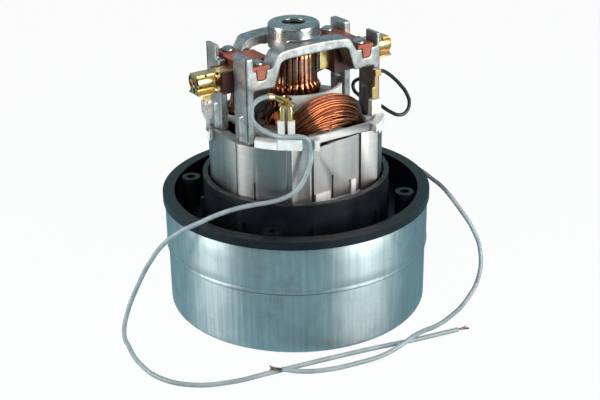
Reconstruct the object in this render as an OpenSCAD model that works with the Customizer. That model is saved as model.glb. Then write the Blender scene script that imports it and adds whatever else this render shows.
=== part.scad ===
// Two-stage vacuum motor unit: a steel fan case under a universal motor.
// Origin: centre of the fan case's bottom face. +Z runs up the shaft, +X along the brush axis.

/* [Fan case] */
// Outer radius of the upper steel can
can_r = 71; // [68:0.5:74]
// Thickness of the steel sheet
sheet = 0.6; // [0.5:0.1:0.9]
// Bottom corner radius of the lower can
can_corner = 3; // [2:0.5:5]
// Height of the seam between the two cans
seam_z = 34.9; // [34:0.1:37]
// Depth that the lower can goes up inside the upper one
can_lap = 3; // [2:0.5:4]
// Radius of the air inlet in the bottom
inlet_r = 19; // [16:0.5:19.5]
// Height of the inlet's turned-in lip
inlet_lip = 4; // [3:0.5:4.5]

/* [Motor housing] */
// How far the black rim stands out past the upper can
rim_over = 1; // [1:0.5:4]
// Height of the rim's top face
rim_z = 64.7; // [63:0.1:67]
// Height of the rim's outer edge
rim_h = 4.5; // [3:0.5:6]
// Distance from the upper can's side in to the trough
trough_inset = 5.3; // [4.9:0.1:5.6]
// Wall of the trough
trough_wall = 2.5; // [2:0.25:2.75]
// Height of the trough's floor
trough_z = 48; // [47.8:0.1:48.3]
// Thickness of the trough's floor
floor_t = 2.5; // [2:0.25:3]
// Outer radius of the collar round the motor
collar_r = 50; // [49.5:0.25:51]
// Wall of the collar
collar_wall = 2.7; // [2:0.1:2.9]
// Height of the collar's top
collar_z = 74.5; // [72:0.5:78]
// Distance from the trough's side in to the middle of a screw boss
boss_inset = 6.7; // [6.2:0.1:7.7]
// Radius of a screw boss
boss_r = 5; // [4.5:0.25:5.5]
// Radius of a screw boss's hole
boss_hole_r = 2.5; // [1.5:0.25:3]
// Depth of a screw boss's hole
boss_depth = 14; // [8:1:15]
// Number of air ports in the housing floor
port_count = 6; // [4:1:6]
// Radius of an air port
port_r = 8; // [5:0.5:9]

/* [Fans] */
// Distance from the upper can's side in to both impellers
fan_inset = 9; // [8:0.5:15]
// Height of an impeller between its two discs' outer faces
fan_h = 12; // [11:0.5:12.5]
// Number of blades on an impeller
blade_count = 7; // [5:1:9]
// Sheet thickness of the impellers
fan_sheet = 0.8; // [0.6:0.1:1]
// Outer radius of an impeller's eye collar
eye_r = 21.5; // [21:0.25:23]

/* [Motor] */
// Radius of the shaft
shaft_r = 4; // [3.5:0.25:4.25]
// Outer radius of both ball bearings
bearing_r = 11; // [10.5:0.25:11.5]
// Width of both ball bearings
bearing_w = 7; // [6.5:0.25:7.5]
// Radius of the stator stack's round corners
stack_r = 46; // [45.8:0.1:46.6]
// Half the distance across the stack's front and rear flats
stack_flat = 37.5; // [37.3:0.1:38]
// Half the distance across the stack's side flats
stack_side = 44; // [43.5:0.1:45]
// Height of the stack's bottom face
stack_z0 = 70.3; // [70:0.1:71]
// Height of the stack's top face
stack_z1 = 102.3; // [102:0.1:103]
// Radius of the armature core
armature_r = 20.5; // [19:0.1:20.6]
// Air gap between the armature and the poles
air_gap = 0.5; // [0.4:0.05:0.8]
// Number of armature slots
slot_count = 12; // [8:1:12]
// Radius of the commutator
commutator_r = 12; // [11.5:0.1:12.2]
// Number of commutator bars
bar_count = 24; // [12:1:24]

/* [Field coils] */
// Half the width of a field coil's centre line
coil_half_w = 20; // [19.8:0.1:20.2]
// Height of a coil's crown above the stack, at its centre line
coil_rise = 11.6; // [11.2:0.1:11.8]
// Diameter of the wire in the coil's outer layer
wire_d = 1.2; // [1:0.05:1.2]
// Number of loops in the outer layer
loop_count = 12; // [8:1:12]

/* [Bracket] */
// Half the length of the bracket
bracket_half = 40.6; // [40.2:0.1:41]
// Half the width of the bracket
bracket_side = 20; // [19.5:0.1:20.5]
// Thickness of a leg
leg_t = 4; // [3.6:0.1:4.2]
// Width of a rail, front to back
rail_w = 10; // [9:0.25:10.5]
// Height of the bearing boss's top above the brush axis
boss_rise = 22.5; // [22:0.1:24]
// Radius of the bearing boss
bearing_boss_r = 13.4; // [13.2:0.1:14]
// Height of the bracket's posts above the brush axis
post_rise = 14.2; // [11.5:0.1:15]

/* [Brush gear] */
// Distance from the shaft to the outer end of a brush tube
tube_end = 59.3; // [57.5:0.1:61]
// Width of a brush tube, across the commutator
tube_w = 8.4; // [8:0.1:8.8]
// Height of a brush tube, along the commutator
tube_h = 10.2; // [9.6:0.1:10.6]
// Height of the brush axis above the stack
brush_rise = 30.5; // [30.3:0.1:30.7]
// Length of a carbon brush
brush_len = 31; // [24:0.5:33]
// Distance a brush can be pushed back
brush_travel = 5; // [2:0.5:6]

/* [Leads] */
// Diameter of the grey leads
lead_d = 2.4; // [1.6:0.1:2.4]
// Diameter of the jumpers
jumper_d = 2; // [1.6:0.1:2.2]

/* [Hidden] */
$fn = 96;
small_fn = 32;
eps = 0.01;

// Clearances
press_gap = 0.02;
slide_gap = 0.1;
seat_gap = 0.3;

// Fan case and housing
rim_r = can_r + rim_over;
trough_r = can_r - trough_inset;
boss_pcd = 2 * (trough_r - boss_inset);
fan_r = can_r - fan_inset;
rim_under_z = rim_z - rim_h;
lower_can_r = can_r - sheet - slide_gap;
lower_can_top = seam_z + can_lap;
trough_outer_r = trough_r + trough_wall;
floor_z = trough_z - floor_t;
collar_in_r = collar_r - collar_wall;

// Stations along the shaft, from the bottom
brush_z = stack_z1 + brush_rise;
boss_z = brush_z + boss_rise;
post_z = brush_z + post_rise;
shaft_z0 = 6;
washer_t = 1.2;
washer_r = 12;
fan1_z = 6;
fan1_top = fan1_z + fan_h;
fan2_z = 29;
fan2_top = fan2_z + fan_h;
nut_h = 6.5;
nut_af = 13;
nut_z = fan1_top - fan_sheet - washer_t - nut_h;
spacer_r = 6;
diffuser_z = fan1_top + washer_t + 1.3;
diffuser_plate_z = fan2_z - 3.6;
bearing1_z = trough_z;
boss_lip = 2.3;
preload_room = 8.5 - bearing_w;
bearing2_z = boss_z - boss_lip - bearing_w - preload_room;
shaft_z1 = bearing2_z + bearing_w + 0.6;

// Bearings
race_t = 2.2;
ball_r = 1.9;
ball_count = 8;
inner_race_r = shaft_r + press_gap;
ball_ring_r = (bearing_r + inner_race_r) / 2;
shield_t = 0.35;

// Stator
stack_h = stack_z1 - stack_z0;
stack_mid = (stack_z0 + stack_z1) / 2;
bore_r = armature_r + air_gap;
yoke_r = 38;
window_flat = 32.5;
pole_t = 3.2;
pole_angle = 62;
neck_w = 23;
bolt_x = bracket_half - leg_t / 2;
bolt_y = 12.5;
bolt_r = 1.7;
bolt_head_r = 3.2;
bolt_in_bracket = 9;
shelf_h = 4;
groove_w = 0.9;
slot_x = 14.75;
slot_w = 2.4;

// Field coils: a loop round a pole, drawn as a superellipse seen along Y
coil_steps = 24;
coil_half_h = stack_h / 2 + coil_rise;
coil_power = 0.5;
coil_y_side = 24.5;
coil_y_crown = 31.3;
side_a = 6.2;
crown_a = 9.8;
side_b = 5.9;
crown_b = 5.5;
wire_gap = 0.25;
crown_start = 0.6;
wind_from = -66;
wind_to = 172;
wire_sides = 6;
core_sides = 12;

// Armature
crown_h = 13.5;
crown_r = 19;
end_disc_t = 0.8;
slot_r = 2.9;
slot_ring_r = 15.4;
commutator_z0 = stack_z1 + crown_h + 3.7;
commutator_z1 = brush_z + tube_h / 2 + 2.3;
riser_z = commutator_z0 + 0.5;
riser_h = 3.2;
riser_r = commutator_r + 1.3;
commutator_core_r = 8;

// Bracket rails
rail_rise = 15.7;
ear_rise = 7.2;
rail_low = 3;
rail_t = 5.3;
rail_top_z = brush_z + rail_rise;
rail_top_half = 22.5;
rail_drop_half = 26;
ear_seat_z = brush_z + ear_rise;
rail_low_z = brush_z - rail_low;
rail_arch_z = rail_top_z - rail_t;
arch_half = 20.5;
arch_foot_half = 24.5;
notch_x = 32;
notch_w = 6;
notch_y = 3;
notch_depth = 5;
notch_z = ear_seat_z - notch_depth;
leg_in_y = 6.6;
boss_foot = 0.6;
boss_foot_z = rail_arch_z - boss_foot;
shaft_window_r = 6;

// Brush gear
tube_wall = 0.6;
tube_start = commutator_r + 3;
tube_z0 = brush_z - tube_h / 2;
tube_z1 = brush_z + tube_h / 2;
brush_w = tube_w - 2 * tube_wall - 2 * slide_gap;
brush_h = tube_h - 2 * tube_wall - 2 * slide_gap;
brush_tip = commutator_r + 0.06;
brush_back = brush_tip + brush_len;
holder_x0 = tube_start + 5;
holder_x1 = 46;
holder_wide_x = bracket_half - leg_t - seat_gap;
holder_wide = 16;
holder_narrow = 2 * leg_in_y - 0.5;
holder_z0 = tube_z0 - 1.9;
ear_t = 2;
ear_x0 = 27;
ear_x1 = 36.4;
screw_x = 31;
screw_y = 14.3;
screw_r = 1.5;
screw_depth = 6.5;
screw_head_r = 3.4;
spring_r = 2.7;
spring_wire = 0.7;
spring_turns = 9;
swage_x = 48;
tab_x = 53.6;

// Upper insulator
plate_t = 1.5;
insulator_wall_r = 23.5;
insulator_wall_t = 1.6;
insulator_wall_h = 21;
rim_wall_h = 3.9;
rim_wall_top = stack_z1 + rim_wall_h;
block_angle = -129;
block_in = 40;
block_out = 45.6;
block_h = 5.5;
block_z1 = stack_z1 + block_h;
crimp_ring = 41.4;
crimp_leg_h = 8.6;
crimp_leg_top = block_z1 + crimp_leg_h;
crimp_h = 12.6;
crimp_barrel_h = 5.6;
crimp_z1 = crimp_leg_top + crimp_h;
post_at = [33, -26];
post_w = 6;
post_t = 3.2;
post_foot = [6.6, 3];
post_h = 11.7;
post_top = stack_z1 + post_h;
strip_h = 15;
strip_top = post_top + strip_h;
plug_h = 4.6;
plug_z0 = stack_z1 - plug_h - 0.7;

// Size of the blocks that only cut or keep a part of a shape
cutter = 2 * can_r;

// Routes of the jumpers and leads, points chosen along each
black_route = [
    [36.4, -25.2, 128.2], [37.6, -25.2, 128.2], [40, -24.2, 127.2], [43, -23, 125.4],
    [48.6, -22, 121], [53.4, -21.4, 116.2], [57.8, -21.2, 110.6], [59.6, -21.6, 104.8],
    [57.6, -22, 100.6], [53, -21.6, 99.4], [49, -18.6, 101.2], [46.6, -13.6, 103.6],
    [45.4, -8, 104.4], [45, -1, 104.4], [45, 5, 105], [45, 9.4, 107], [45.2, 10, 110],
    [46.2, 7.8, 112.6], [48.8, 5, 113.8], [51.8, 3.1, 113.6], [53.6, 2.4, 115], [53.6, 2.4, 117.1]
];
left_route = [
    [-53.6, -2.4, 117.1], [-53.6, -2.4, 114.4], [-53, -1.2, 111], [-51.8, 1.4, 108], [-50, 5, 105.8],
    [-47.8, 8.6, 104.6], [-46, 10.6, 103.6], [-45.4, 11.2, 101.9]
];
front_route = [
    [-31, -30, 129.2], [-35.6, -29.6, 130], [-40, -28.2, 128.6], [-43, -27.5, 125],
    [-43.4, -28, 120.4], [-41, -31, 115.8], [-36.6, -34.2, 112.4], [-31.6, -35.4, 110.2],
    [-27, -37, 109.7], [-22.6, -39.4, 109.5], [-19.6, -41, 108], [-18.1, -41.7, 104.4],
    [-18, -42.1, 100], [-19.2, -43, 95.6], [-21.4, -43.2, 91], [-23.8, -42.8, 86.4],
    [-27.6, -41.4, 81.8], [-33, -38.4, 78.4], [-39, -35.4, 76.9], [-46, -32.4, 76.2],
    [-54, -29, 75], [-62, -23.4, 71.6], [-69.4, -18, 67.2], [-77, -12.6, 62.6],
    [-83, -4.4, 54], [-87.4, 5.6, 40], [-92, 13, 24], [-98, 14.6, 10], [-103.4, 9, 2.4],
    [-107.4, -5, 1.3], [-110, -23, 1.2], [-107.4, -41, 1.2], [-97.6, -54.6, 1.2],
    [-80.6, -63.2, 1.2], [-60.6, -67, 1.2], [-41.6, -70.4, 1.2], [-22, -74, 1.2],
    [-2, -78.2, 1.2], [16, -82.6, 1.2], [43, -87.8, 1.2]
];
rear_route = [
    [31, 30, 129.2], [35.6, 29.6, 130], [40, 28.2, 128.6], [43, 27.5, 125],
    [43.4, 28, 120.4], [41, 31, 115.8], [36.6, 34.2, 112.4], [31.6, 35.4, 110.2],
    [27, 37, 109.7], [22.6, 39.4, 109.5], [19.6, 41, 108], [18.1, 41.7, 104.4],
    [18, 42.1, 99], [19, 43.6, 92], [20.6, 46.6, 84.4], [22.6, 51.4, 76.6], [25.6, 57, 70.4],
    [30, 62.4, 67.2], [36, 67.4, 65], [45, 69, 60.6], [58, 62, 55.6], [71, 47, 53.4],
    [80, 26, 53.4], [82.8, 6, 54.4], [81.4, -8, 54.8], [79.4, -19, 54.6], [76.4, -30.4, 55.2],
    [73, -41, 55], [75.2, -49.4, 47.6], [79.4, -55.6, 37], [81, -60.4, 26], [75.8, -66, 13.4],
    [63.6, -70.6, 4.6], [50, -74.6, 1.4], [36, -78.4, 1.4], [24, -81.4, 3.4],
    [16.6, -83.3, 3.9], [9, -85, 3.2], [-3, -85.6, 1.3], [-20, -84.4, 1.2], [-36, -80.6, 1.2],
    [-47, -75.6, 1.8], [-56, -70.6, 3.8]
];
strand_r = 0.32;
strand_len = 7;

// Vector helpers
function unit(v) = v / norm(v);
function tangent(p, i) = unit(p[min(i + 1, len(p) - 1)] - p[max(i - 1, 0)]);
function side(t) = abs(t[2]) > 0.98 ? unit(cross(t, [0, 1, 0])) : unit(cross(t, [0, 0, 1]));
function carry(t, old) = unit(old - t * (old * t));
function sides_of(p, i) = i == 0 ? side(tangent(p, 0)) : carry(tangent(p, i), sides_of(p, i - 1));

// A tube along a route, with one ring at each point
module tube(p, d, n) {
    m = len(p);
    rings = [
        for (i = [0:m - 1])
            let (t = tangent(p, i), a = sides_of(p, i), b = cross(t, a))
            for (k = [0:n - 1])
                p[i] + d / 2 * (cos(360 * k / n) * a + sin(360 * k / n) * b)
    ];
    walls = [
        for (i = [0:m - 2], k = [0:n - 1])
            let (q = (k + 1) % n)
            each [
                [i * n + k, i * n + q, (i + 1) * n + q],
                [i * n + k, (i + 1) * n + q, (i + 1) * n + k]
            ]
    ];
    start_cap = [for (k = [1:n - 2]) [0, k + 1, k]];
    end_cap = [for (k = [1:n - 2]) [(m - 1) * n, (m - 1) * n + k, (m - 1) * n + k + 1]];
    polyhedron(points = rings, faces = [for (f = concat(walls, start_cap, end_cap)) [f[0], f[2], f[1]]]);
}

// A ring with a square section
module ring(r_out, r_in, h) {
    difference() {
        cylinder(r = r_out, h = h);
        translate([0, 0, -eps]) cylinder(r = r_in, h = h + 2 * eps);
    }
}

// The inside or outside of a can with a rounded bottom corner, as a half section
module can_section(r, h, corner) {
    translate([0, corner]) square([r, h - corner]);
    square([r - corner, h]);
    translate([r - corner, corner]) circle(corner, $fn = small_fn);
}

// One half of the object turned round the shaft to make the other
module rear() {
    rotate([0, 0, 180]) children();
}

// Four copies at the same distances from both axes
module four(x, y) {
    for (sx = [-1, 1], sy = [-1, 1]) translate([sx * x, sy * y, 0]) children();
}

// Fan case

module inlet_can() {
    color("lightsteelblue") difference() {
        union() {
            difference() {
                rotate_extrude() can_section(lower_can_r, lower_can_top, can_corner);
                translate([0, 0, sheet])
                    rotate_extrude() can_section(lower_can_r - sheet, lower_can_top, can_corner - sheet);
            }
            cylinder(r = inlet_r + sheet, h = inlet_lip);
        }
        translate([0, 0, -eps]) cylinder(r = inlet_r, h = inlet_lip + 2 * eps);
    }
}

module upper_can() {
    hem = 0.3;
    hem_h = 0.9;
    flange_in = trough_outer_r + slide_gap;
    color("lightsteelblue") {
        translate([0, 0, seam_z]) ring(can_r, can_r - sheet, rim_under_z - seam_z);
        translate([0, 0, seam_z]) ring(can_r + hem, can_r - eps, hem_h);
        translate([0, 0, rim_under_z - sheet]) ring(can_r - sheet + eps, flange_in, sheet);
    }
}

module impeller_blade() {
    blade_r = fan_r * 0.62;
    h = fan_h - 2 * fan_sheet + 0.2;
    intersection() {
        translate([blade_r * 0.72, 0, 0]) ring(blade_r, blade_r - fan_sheet, h);
        ring(fan_r - 0.5, eye_r + 0.5, h);
        cube([2 * fan_r, 2 * fan_r, fan_h]);
    }
}

module impeller() {
    collar_h = 2;
    collar_t = 0.8;
    rotate_extrude() polygon([
        [eye_r - collar_t, -collar_h], [eye_r, -collar_h], [eye_r, 0], [fan_r, 0],
        [fan_r, fan_sheet], [eye_r - collar_t, fan_sheet]
    ]);
    translate([0, 0, fan_h - fan_sheet]) ring(fan_r, shaft_r + press_gap, fan_sheet);
    for (i = [0:blade_count - 1])
        rotate([0, 0, 360 * i / blade_count]) translate([0, 0, fan_sheet - 0.1]) impeller_blade();
}

module first_impeller() {
    color("gainsboro") translate([0, 0, fan1_z]) impeller();
}

module second_impeller() {
    color("gainsboro") translate([0, 0, fan2_z]) impeller();
}

module interstage_diffuser() {
    seat_r = lower_can_r - sheet - slide_gap;
    vane_h = diffuser_plate_z - diffuser_z - fan_sheet;
    color("silver") {
        translate([0, 0, diffuser_z]) ring(fan_r, spacer_r + 2, fan_sheet);
        translate([0, 0, diffuser_plate_z]) ring(seat_r, eye_r - 1.5, fan_sheet);
        translate([0, 0, diffuser_z]) ring(seat_r, seat_r - fan_sheet, diffuser_plate_z - diffuser_z + eps);
        for (i = [0:blade_count + 1])
            rotate([0, 0, 360 * i / (blade_count + 2)])
                translate([eye_r + 1, -fan_sheet / 2, diffuser_z + fan_sheet - eps])
                    cube([fan_r - eye_r - 2, fan_sheet, vane_h + 2 * eps]);
    }
}

// Pieces stacked on the shaft

module fan_spacers() {
    low = fan1_top + washer_t;
    mid = fan2_top - fan_sheet - washer_t;
    high = fan2_top + washer_t;
    color("silver") {
        translate([0, 0, low]) ring(spacer_r, inner_race_r, mid - low);
        translate([0, 0, high]) ring(spacer_r, inner_race_r, bearing1_z - high);
    }
}

module fan_washers() {
    color("silver") for (z = [fan1_top, fan2_top]) {
        translate([0, 0, z]) ring(washer_r, inner_race_r, washer_t);
        translate([0, 0, z - fan_sheet - washer_t]) ring(washer_r, inner_race_r, washer_t);
    }
}

module fan_nut() {
    color("silver") translate([0, 0, nut_z]) difference() {
        cylinder(r = nut_af / sqrt(3), h = nut_h, $fn = 6);
        translate([0, 0, -eps]) cylinder(r = inner_race_r, h = nut_h + 2 * eps);
    }
}

// Motor housing

module air_ports() {
    port_ring = (collar_in_r + bearing_r + 3) / 2;
    for (i = [0:port_count - 1])
        rotate([0, 0, 360 * (i + 0.5) / port_count])
            translate([port_ring, 0, floor_z - 1]) cylinder(r = port_r, h = floor_t + 2);
}

module stack_shelf() {
    inner = bolt_x - 4;
    shelf_x = 30.6;
    shelf_w = 50;
    difference() {
        translate([0, 0, stack_z0 - shelf_h]) ring(collar_in_r + eps, inner, shelf_h);
        translate([0, 0, stack_z0]) cube([2 * shelf_x, cutter, 3 * shelf_h], center = true);
        for (s = [-1, 1])
            translate([0, s * (cutter + shelf_w) / 2, stack_z0])
                cube([cutter, cutter, 3 * shelf_h], center = true);
    }
}

module motor_housing() {
    hub_r = bearing_r + 3;
    rib_count = 8;
    rib_w = 2;
    color([0.1, 0.12, 0.15]) difference() {
        union() {
            translate([0, 0, rim_under_z]) ring(rim_r, trough_r, rim_h);
            translate([0, 0, floor_z]) ring(trough_outer_r, trough_r, rim_under_z - floor_z + eps);
            translate([0, 0, floor_z]) ring(trough_r + eps, bearing_r - 3, floor_t);
            translate([0, 0, floor_z]) ring(collar_r, collar_in_r, collar_z - floor_z);
            translate([0, 0, floor_z]) ring(hub_r, bearing_r + press_gap, floor_t + bearing_w);
            for (i = [0:3])
                rotate([0, 0, 45 + 90 * i]) translate([boss_pcd / 2, 0, floor_z])
                    cylinder(r = boss_r, h = rim_z - floor_z);
            for (i = [0:rib_count - 1])
                rotate([0, 0, 22.5 + 45 * i]) translate([collar_r - 1, -rib_w / 2, floor_z])
                    cube([3, rib_w, rim_z - floor_z - 3]);
            stack_shelf();
        }
        for (i = [0:3])
            rotate([0, 0, 45 + 90 * i]) translate([boss_pcd / 2, 0, rim_z - boss_depth])
                cylinder(r = boss_hole_r, h = boss_depth + 1, $fn = 48);
        air_ports();
        four(bolt_x, bolt_y) translate([0, 0, stack_z0 - shelf_h - 1])
            cylinder(r = bolt_r + slide_gap, h = shelf_h + 2, $fn = 48);
    }
}

// Bearings

module outer_race() {
    difference() {
        ring(bearing_r, bearing_r - race_t, bearing_w);
        translate([0, 0, bearing_w / 2]) rotate_extrude() translate([ball_ring_r, 0]) circle(ball_r + 0.05);
    }
}

module inner_race() {
    difference() {
        ring(inner_race_r + race_t, inner_race_r, bearing_w);
        translate([0, 0, bearing_w / 2]) rotate_extrude() translate([ball_ring_r, 0]) circle(ball_r + 0.05);
    }
}

module balls() {
    for (i = [0:ball_count - 1])
        rotate([0, 0, 360 * i / ball_count]) translate([ball_ring_r, 0, bearing_w / 2])
            sphere(ball_r, $fn = small_fn);
}

module shields() {
    for (z = [0.3, bearing_w - 0.3 - shield_t])
        translate([0, 0, z])
            ring(bearing_r - race_t - press_gap, inner_race_r + race_t + 0.15, shield_t);
}

module lower_outer_race() {
    color("silver") translate([0, 0, bearing1_z]) outer_race();
}

module lower_inner_race() {
    color("silver") translate([0, 0, bearing1_z]) inner_race();
}

module lower_bearing_balls() {
    color("white") translate([0, 0, bearing1_z]) balls();
}

module upper_outer_race() {
    color("silver") translate([0, 0, bearing2_z]) outer_race();
}

module upper_inner_race() {
    color("silver") translate([0, 0, bearing2_z]) inner_race();
}

module upper_bearing_balls() {
    color("white") translate([0, 0, bearing2_z]) balls();
}

module bearing_shields() {
    color("gray") for (z = [bearing1_z, bearing2_z]) translate([0, 0, z]) shields();
}

module preload_washer() {
    top = boss_z - boss_lip;
    low = bearing2_z + bearing_w;
    color("silver") rotate_extrude() polygon([
        [bearing_r - race_t + 0.3, top - 0.5], [bearing_r - race_t + 0.3, top],
        [bearing_r - 0.2, low + 0.5], [bearing_r - 0.2, low]
    ]);
}

// Rotor

module shaft() {
    shoulder_r = 5.6;
    crown_z = stack_z0 - crown_h;
    color("silver") {
        translate([0, 0, shaft_z0]) cylinder(r = shaft_r, h = shaft_z1 - shaft_z0);
        translate([0, 0, bearing1_z + bearing_w])
            ring(shoulder_r, shaft_r - eps, crown_z - bearing1_z - bearing_w);
    }
}

module slots(r, z0, z1) {
    for (i = [0:slot_count - 1])
        rotate([0, 0, 360 * i / slot_count]) translate([slot_ring_r, 0, z0]) {
            cylinder(r = r, h = z1 - z0, $fn = 48);
            translate([0, -0.8, 0]) cube([armature_r, 1.6, z1 - z0]);
        }
}

module armature_core() {
    color("dimgray") difference() {
        translate([0, 0, stack_z0]) ring(armature_r, shaft_r + press_gap, stack_h);
        slots(slot_r, stack_z0 - 1, stack_z1 + 1);
    }
}

module armature_end_discs() {
    color("olive") for (z = [stack_z0 - end_disc_t, stack_z1]) difference() {
        translate([0, 0, z]) ring(armature_r - 0.5, shaft_r + press_gap, end_disc_t);
        slots(slot_r, z - 1, z + end_disc_t + 1);
    }
}

module armature_crown() {
    collar_t = 2;
    inner = shaft_r + press_gap + collar_t;
    round_r = 4;
    rotate_extrude() {
        translate([inner, 0]) square([crown_r - inner, crown_h - end_disc_t - round_r]);
        translate([inner, 0]) square([crown_r - inner - round_r, crown_h - end_disc_t]);
        translate([crown_r - round_r, crown_h - end_disc_t - round_r]) circle(round_r, $fn = small_fn);
    }
    ring(inner + eps, shaft_r + press_gap, crown_h - end_disc_t);
}

module armature_windings() {
    color([0.72, 0.35, 0.15]) {
        translate([0, 0, stack_z1 + end_disc_t]) armature_crown();
        translate([0, 0, stack_z0 - end_disc_t]) mirror([0, 0, 1]) armature_crown();
        for (i = [0:slot_count - 1])
            rotate([0, 0, 360 * i / slot_count])
                translate([slot_ring_r, 0, stack_z0 - end_disc_t - eps])
                    cylinder(r = slot_r - 0.2, h = stack_h + 2 * end_disc_t + 2 * eps, $fn = 48);
    }
}

module commutator_core() {
    color([0.25, 0.12, 0.08]) {
        translate([0, 0, stack_z1 + crown_h])
            ring(commutator_core_r, shaft_r + press_gap, commutator_z1 - stack_z1 - crown_h);
    }
}

module commutator_bars() {
    gap = 0.7;
    color([0.6, 0.36, 0.25]) difference() {
        union() {
            translate([0, 0, commutator_z0])
                ring(commutator_r, commutator_core_r + press_gap, commutator_z1 - commutator_z0);
            translate([0, 0, riser_z]) ring(riser_r, commutator_r - eps, riser_h);
        }
        for (i = [0:bar_count - 1])
            rotate([0, 0, 360 * (i + 0.5) / bar_count])
                translate([commutator_core_r - 1, -gap / 2, commutator_z0 - 1])
                    cube([riser_r, gap, commutator_z1 - commutator_z0 + 2]);
    }
}

module bearing_spacer() {
    color("silver") translate([0, 0, commutator_z1])
        ring(spacer_r, inner_race_r, bearing2_z - commutator_z1);
}

// Stator

module window_shape() {
    difference() {
        intersection() {
            circle(yoke_r);
            square([2 * yoke_r, 2 * window_flat], center = true);
        }
        square([neck_w, 2 * window_flat + 2], center = true);
        difference() {
            circle(bore_r + pole_t);
            for (s = [0, 180])
                rotate(s) polygon([
                    [0, 0],
                    [2 * yoke_r * cos(90 - pole_angle), 2 * yoke_r * sin(90 - pole_angle)],
                    [2 * yoke_r * cos(90 - pole_angle), -2 * yoke_r * sin(90 - pole_angle)]
                ]);
        }
    }
}

module stack_outline() {
    intersection() {
        circle(stack_r);
        square([2 * stack_side, 2 * stack_flat], center = true);
    }
}

module stator_stack() {
    seam_angles = [-164, -128, 16, 52];
    notch_angles = [-150, 30];
    notch_h = 13;
    color("darkgray") difference() {
        translate([0, 0, stack_z0]) linear_extrude(stack_h) difference() {
            stack_outline();
            window_shape();
            circle(bore_r);
            for (sx = [-1, 1], sy = [-1, 1])
                translate([sx * slot_x, sy * stack_flat]) square([slot_w, 2.4], center = true);
        }
        four(bolt_x, bolt_y) translate([0, 0, stack_z0 - 1])
            cylinder(r = bolt_r + slide_gap, h = stack_h + 2, $fn = 48);
        for (a = seam_angles)
            rotate([0, 0, a]) translate([stack_r - 0.8, -groove_w / 2, stack_z0 - 1])
                cube([3, groove_w, stack_h + 2]);
        for (a = notch_angles)
            rotate([0, 0, a]) translate([stack_r - 0.8, -groove_w / 2, stack_z0 - 1])
                cube([3, groove_w, notch_h + 1]);
        for (s = [-1, 1])
            translate([s * 2 - groove_w / 2, s * stack_flat - 0.8, stack_z0 - 1])
                cube([groove_w, 1.6, notch_h + 1]);
    }
}

module coil_passages(h) {
    for (sx = [-1, 1], sy = [-1, 1]) {
        translate([sx * coil_half_w, sy * coil_y_side, 0]) cylinder(r = side_a + 2, h = h);
        translate([sx * (coil_half_w - 2.5), sy * (coil_y_side + 2.6), 0]) cylinder(r = side_a + 1, h = h);
    }
}

// The inner wall that keeps a coil's crown off the armature
module inner_wall(h) {
    wall_angle = 46;
    intersection() {
        ring(insulator_wall_r + insulator_wall_t, insulator_wall_r, h);
        union() {
            for (s = [0, 180])
                rotate([0, 0, s]) linear_extrude(h) polygon([
                    [0, 0],
                    [60 * sin(wall_angle), 60 * cos(wall_angle)],
                    [-60 * sin(wall_angle), 60 * cos(wall_angle)]
                ]);
        }
    }
}

module insulator_plate() {
    half_x = 30.5;
    inset = 0.9;
    difference() {
        linear_extrude(plate_t) intersection() {
            circle(stack_r - inset);
            square([2 * half_x, 2 * (stack_flat - inset)], center = true);
        }
        translate([0, 0, -eps]) cylinder(r = insulator_wall_r, h = plate_t + 2 * eps);
        translate([0, 0, -eps]) coil_passages(plate_t + 2 * eps);
    }
}

// The low wall that holds a coil's crown in, with its corner lip
module rim_wall() {
    t = 1.5;
    lip_t = 1.1;
    lip_in = 3.4;
    lip_drop = 2;
    lip_x = 26;
    lip_w = 7;
    lip_y = 24.4;
    out = stack_flat - 0.9;
    h = rim_wall_top - stack_z1;
    translate([-15, -out, stack_z1]) cube([39, t, h]);
    intersection() {
        translate([0, 0, stack_z1 - lip_drop]) ring(stack_r + lip_t, stack_r + 0.05, h + lip_drop);
        translate([lip_x, -cutter, stack_z1 - cutter / 2]) cube([lip_w, cutter, cutter]);
    }
    intersection() {
        translate([0, 0, stack_z1]) ring(stack_r + lip_t, stack_r - lip_in, h);
        translate([lip_x - 4, -cutter, stack_z1 - cutter / 2]) cube([lip_w + 7, cutter - lip_y, cutter]);
    }
}

// A bar and a curved flange at one corner, with a notch for the lead
module terminal_block() {
    bar_w = [-4, 16.5];
    flange_h = 3.8;
    flange_w = 16;
    notch = [8, 6.4];
    rotate([0, 0, block_angle]) difference() {
        union() {
            translate([block_in, bar_w[0], stack_z1])
                cube([block_out - block_in, bar_w[1] - bar_w[0], block_z1 - stack_z1]);
            intersection() {
                translate([0, 0, stack_z1]) ring(block_out, block_in, flange_h);
                translate([0, -flange_w, stack_z1 - 1]) cube([cutter, flange_w - 2, flange_h + 2]);
            }
        }
        translate([block_in + 2, notch[0], stack_z1 - 1]) cube([block_out, notch[1], block_h + 2]);
    }
}

module crimp_legs() {
    leg = 3.4;
    leg_d = 2.8;
    gap = 1.6;
    rotate([0, 0, block_angle])
        for (s = [-1, 1])
            translate([crimp_ring - leg_d / 2, s * (gap + leg) / 2 - leg / 2, block_z1 - eps])
                cube([leg_d, leg, crimp_leg_h]);
}

module right_post() {
    translate([post_at[0] - post_w / 2, post_at[1] - post_t / 2, stack_z1]) cube([post_w, post_t, post_h]);
    translate([post_at[0] - post_foot[0], post_at[1] - post_t / 2, stack_z1])
        cube([post_foot[0], post_t, post_foot[1]]);
}

module upper_insulator() {
    color("ivory") {
        translate([0, 0, stack_z1]) {
            insulator_plate();
            inner_wall(insulator_wall_h);
        }
        for (s = [0, 180]) rotate([0, 0, s]) {
            rim_wall();
            terminal_block();
            crimp_legs();
            right_post();
        }
    }
}

// A tab that hooks up over the stack's flat from below
module lower_tab(x, w, h) {
    t = 1.2;
    translate([x, -stack_flat - t, stack_z0 - plate_t]) cube([w, t, h + plate_t]);
    translate([x, -stack_flat - t, stack_z0 - plate_t]) cube([w, t + 2, plate_t]);
}

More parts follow.
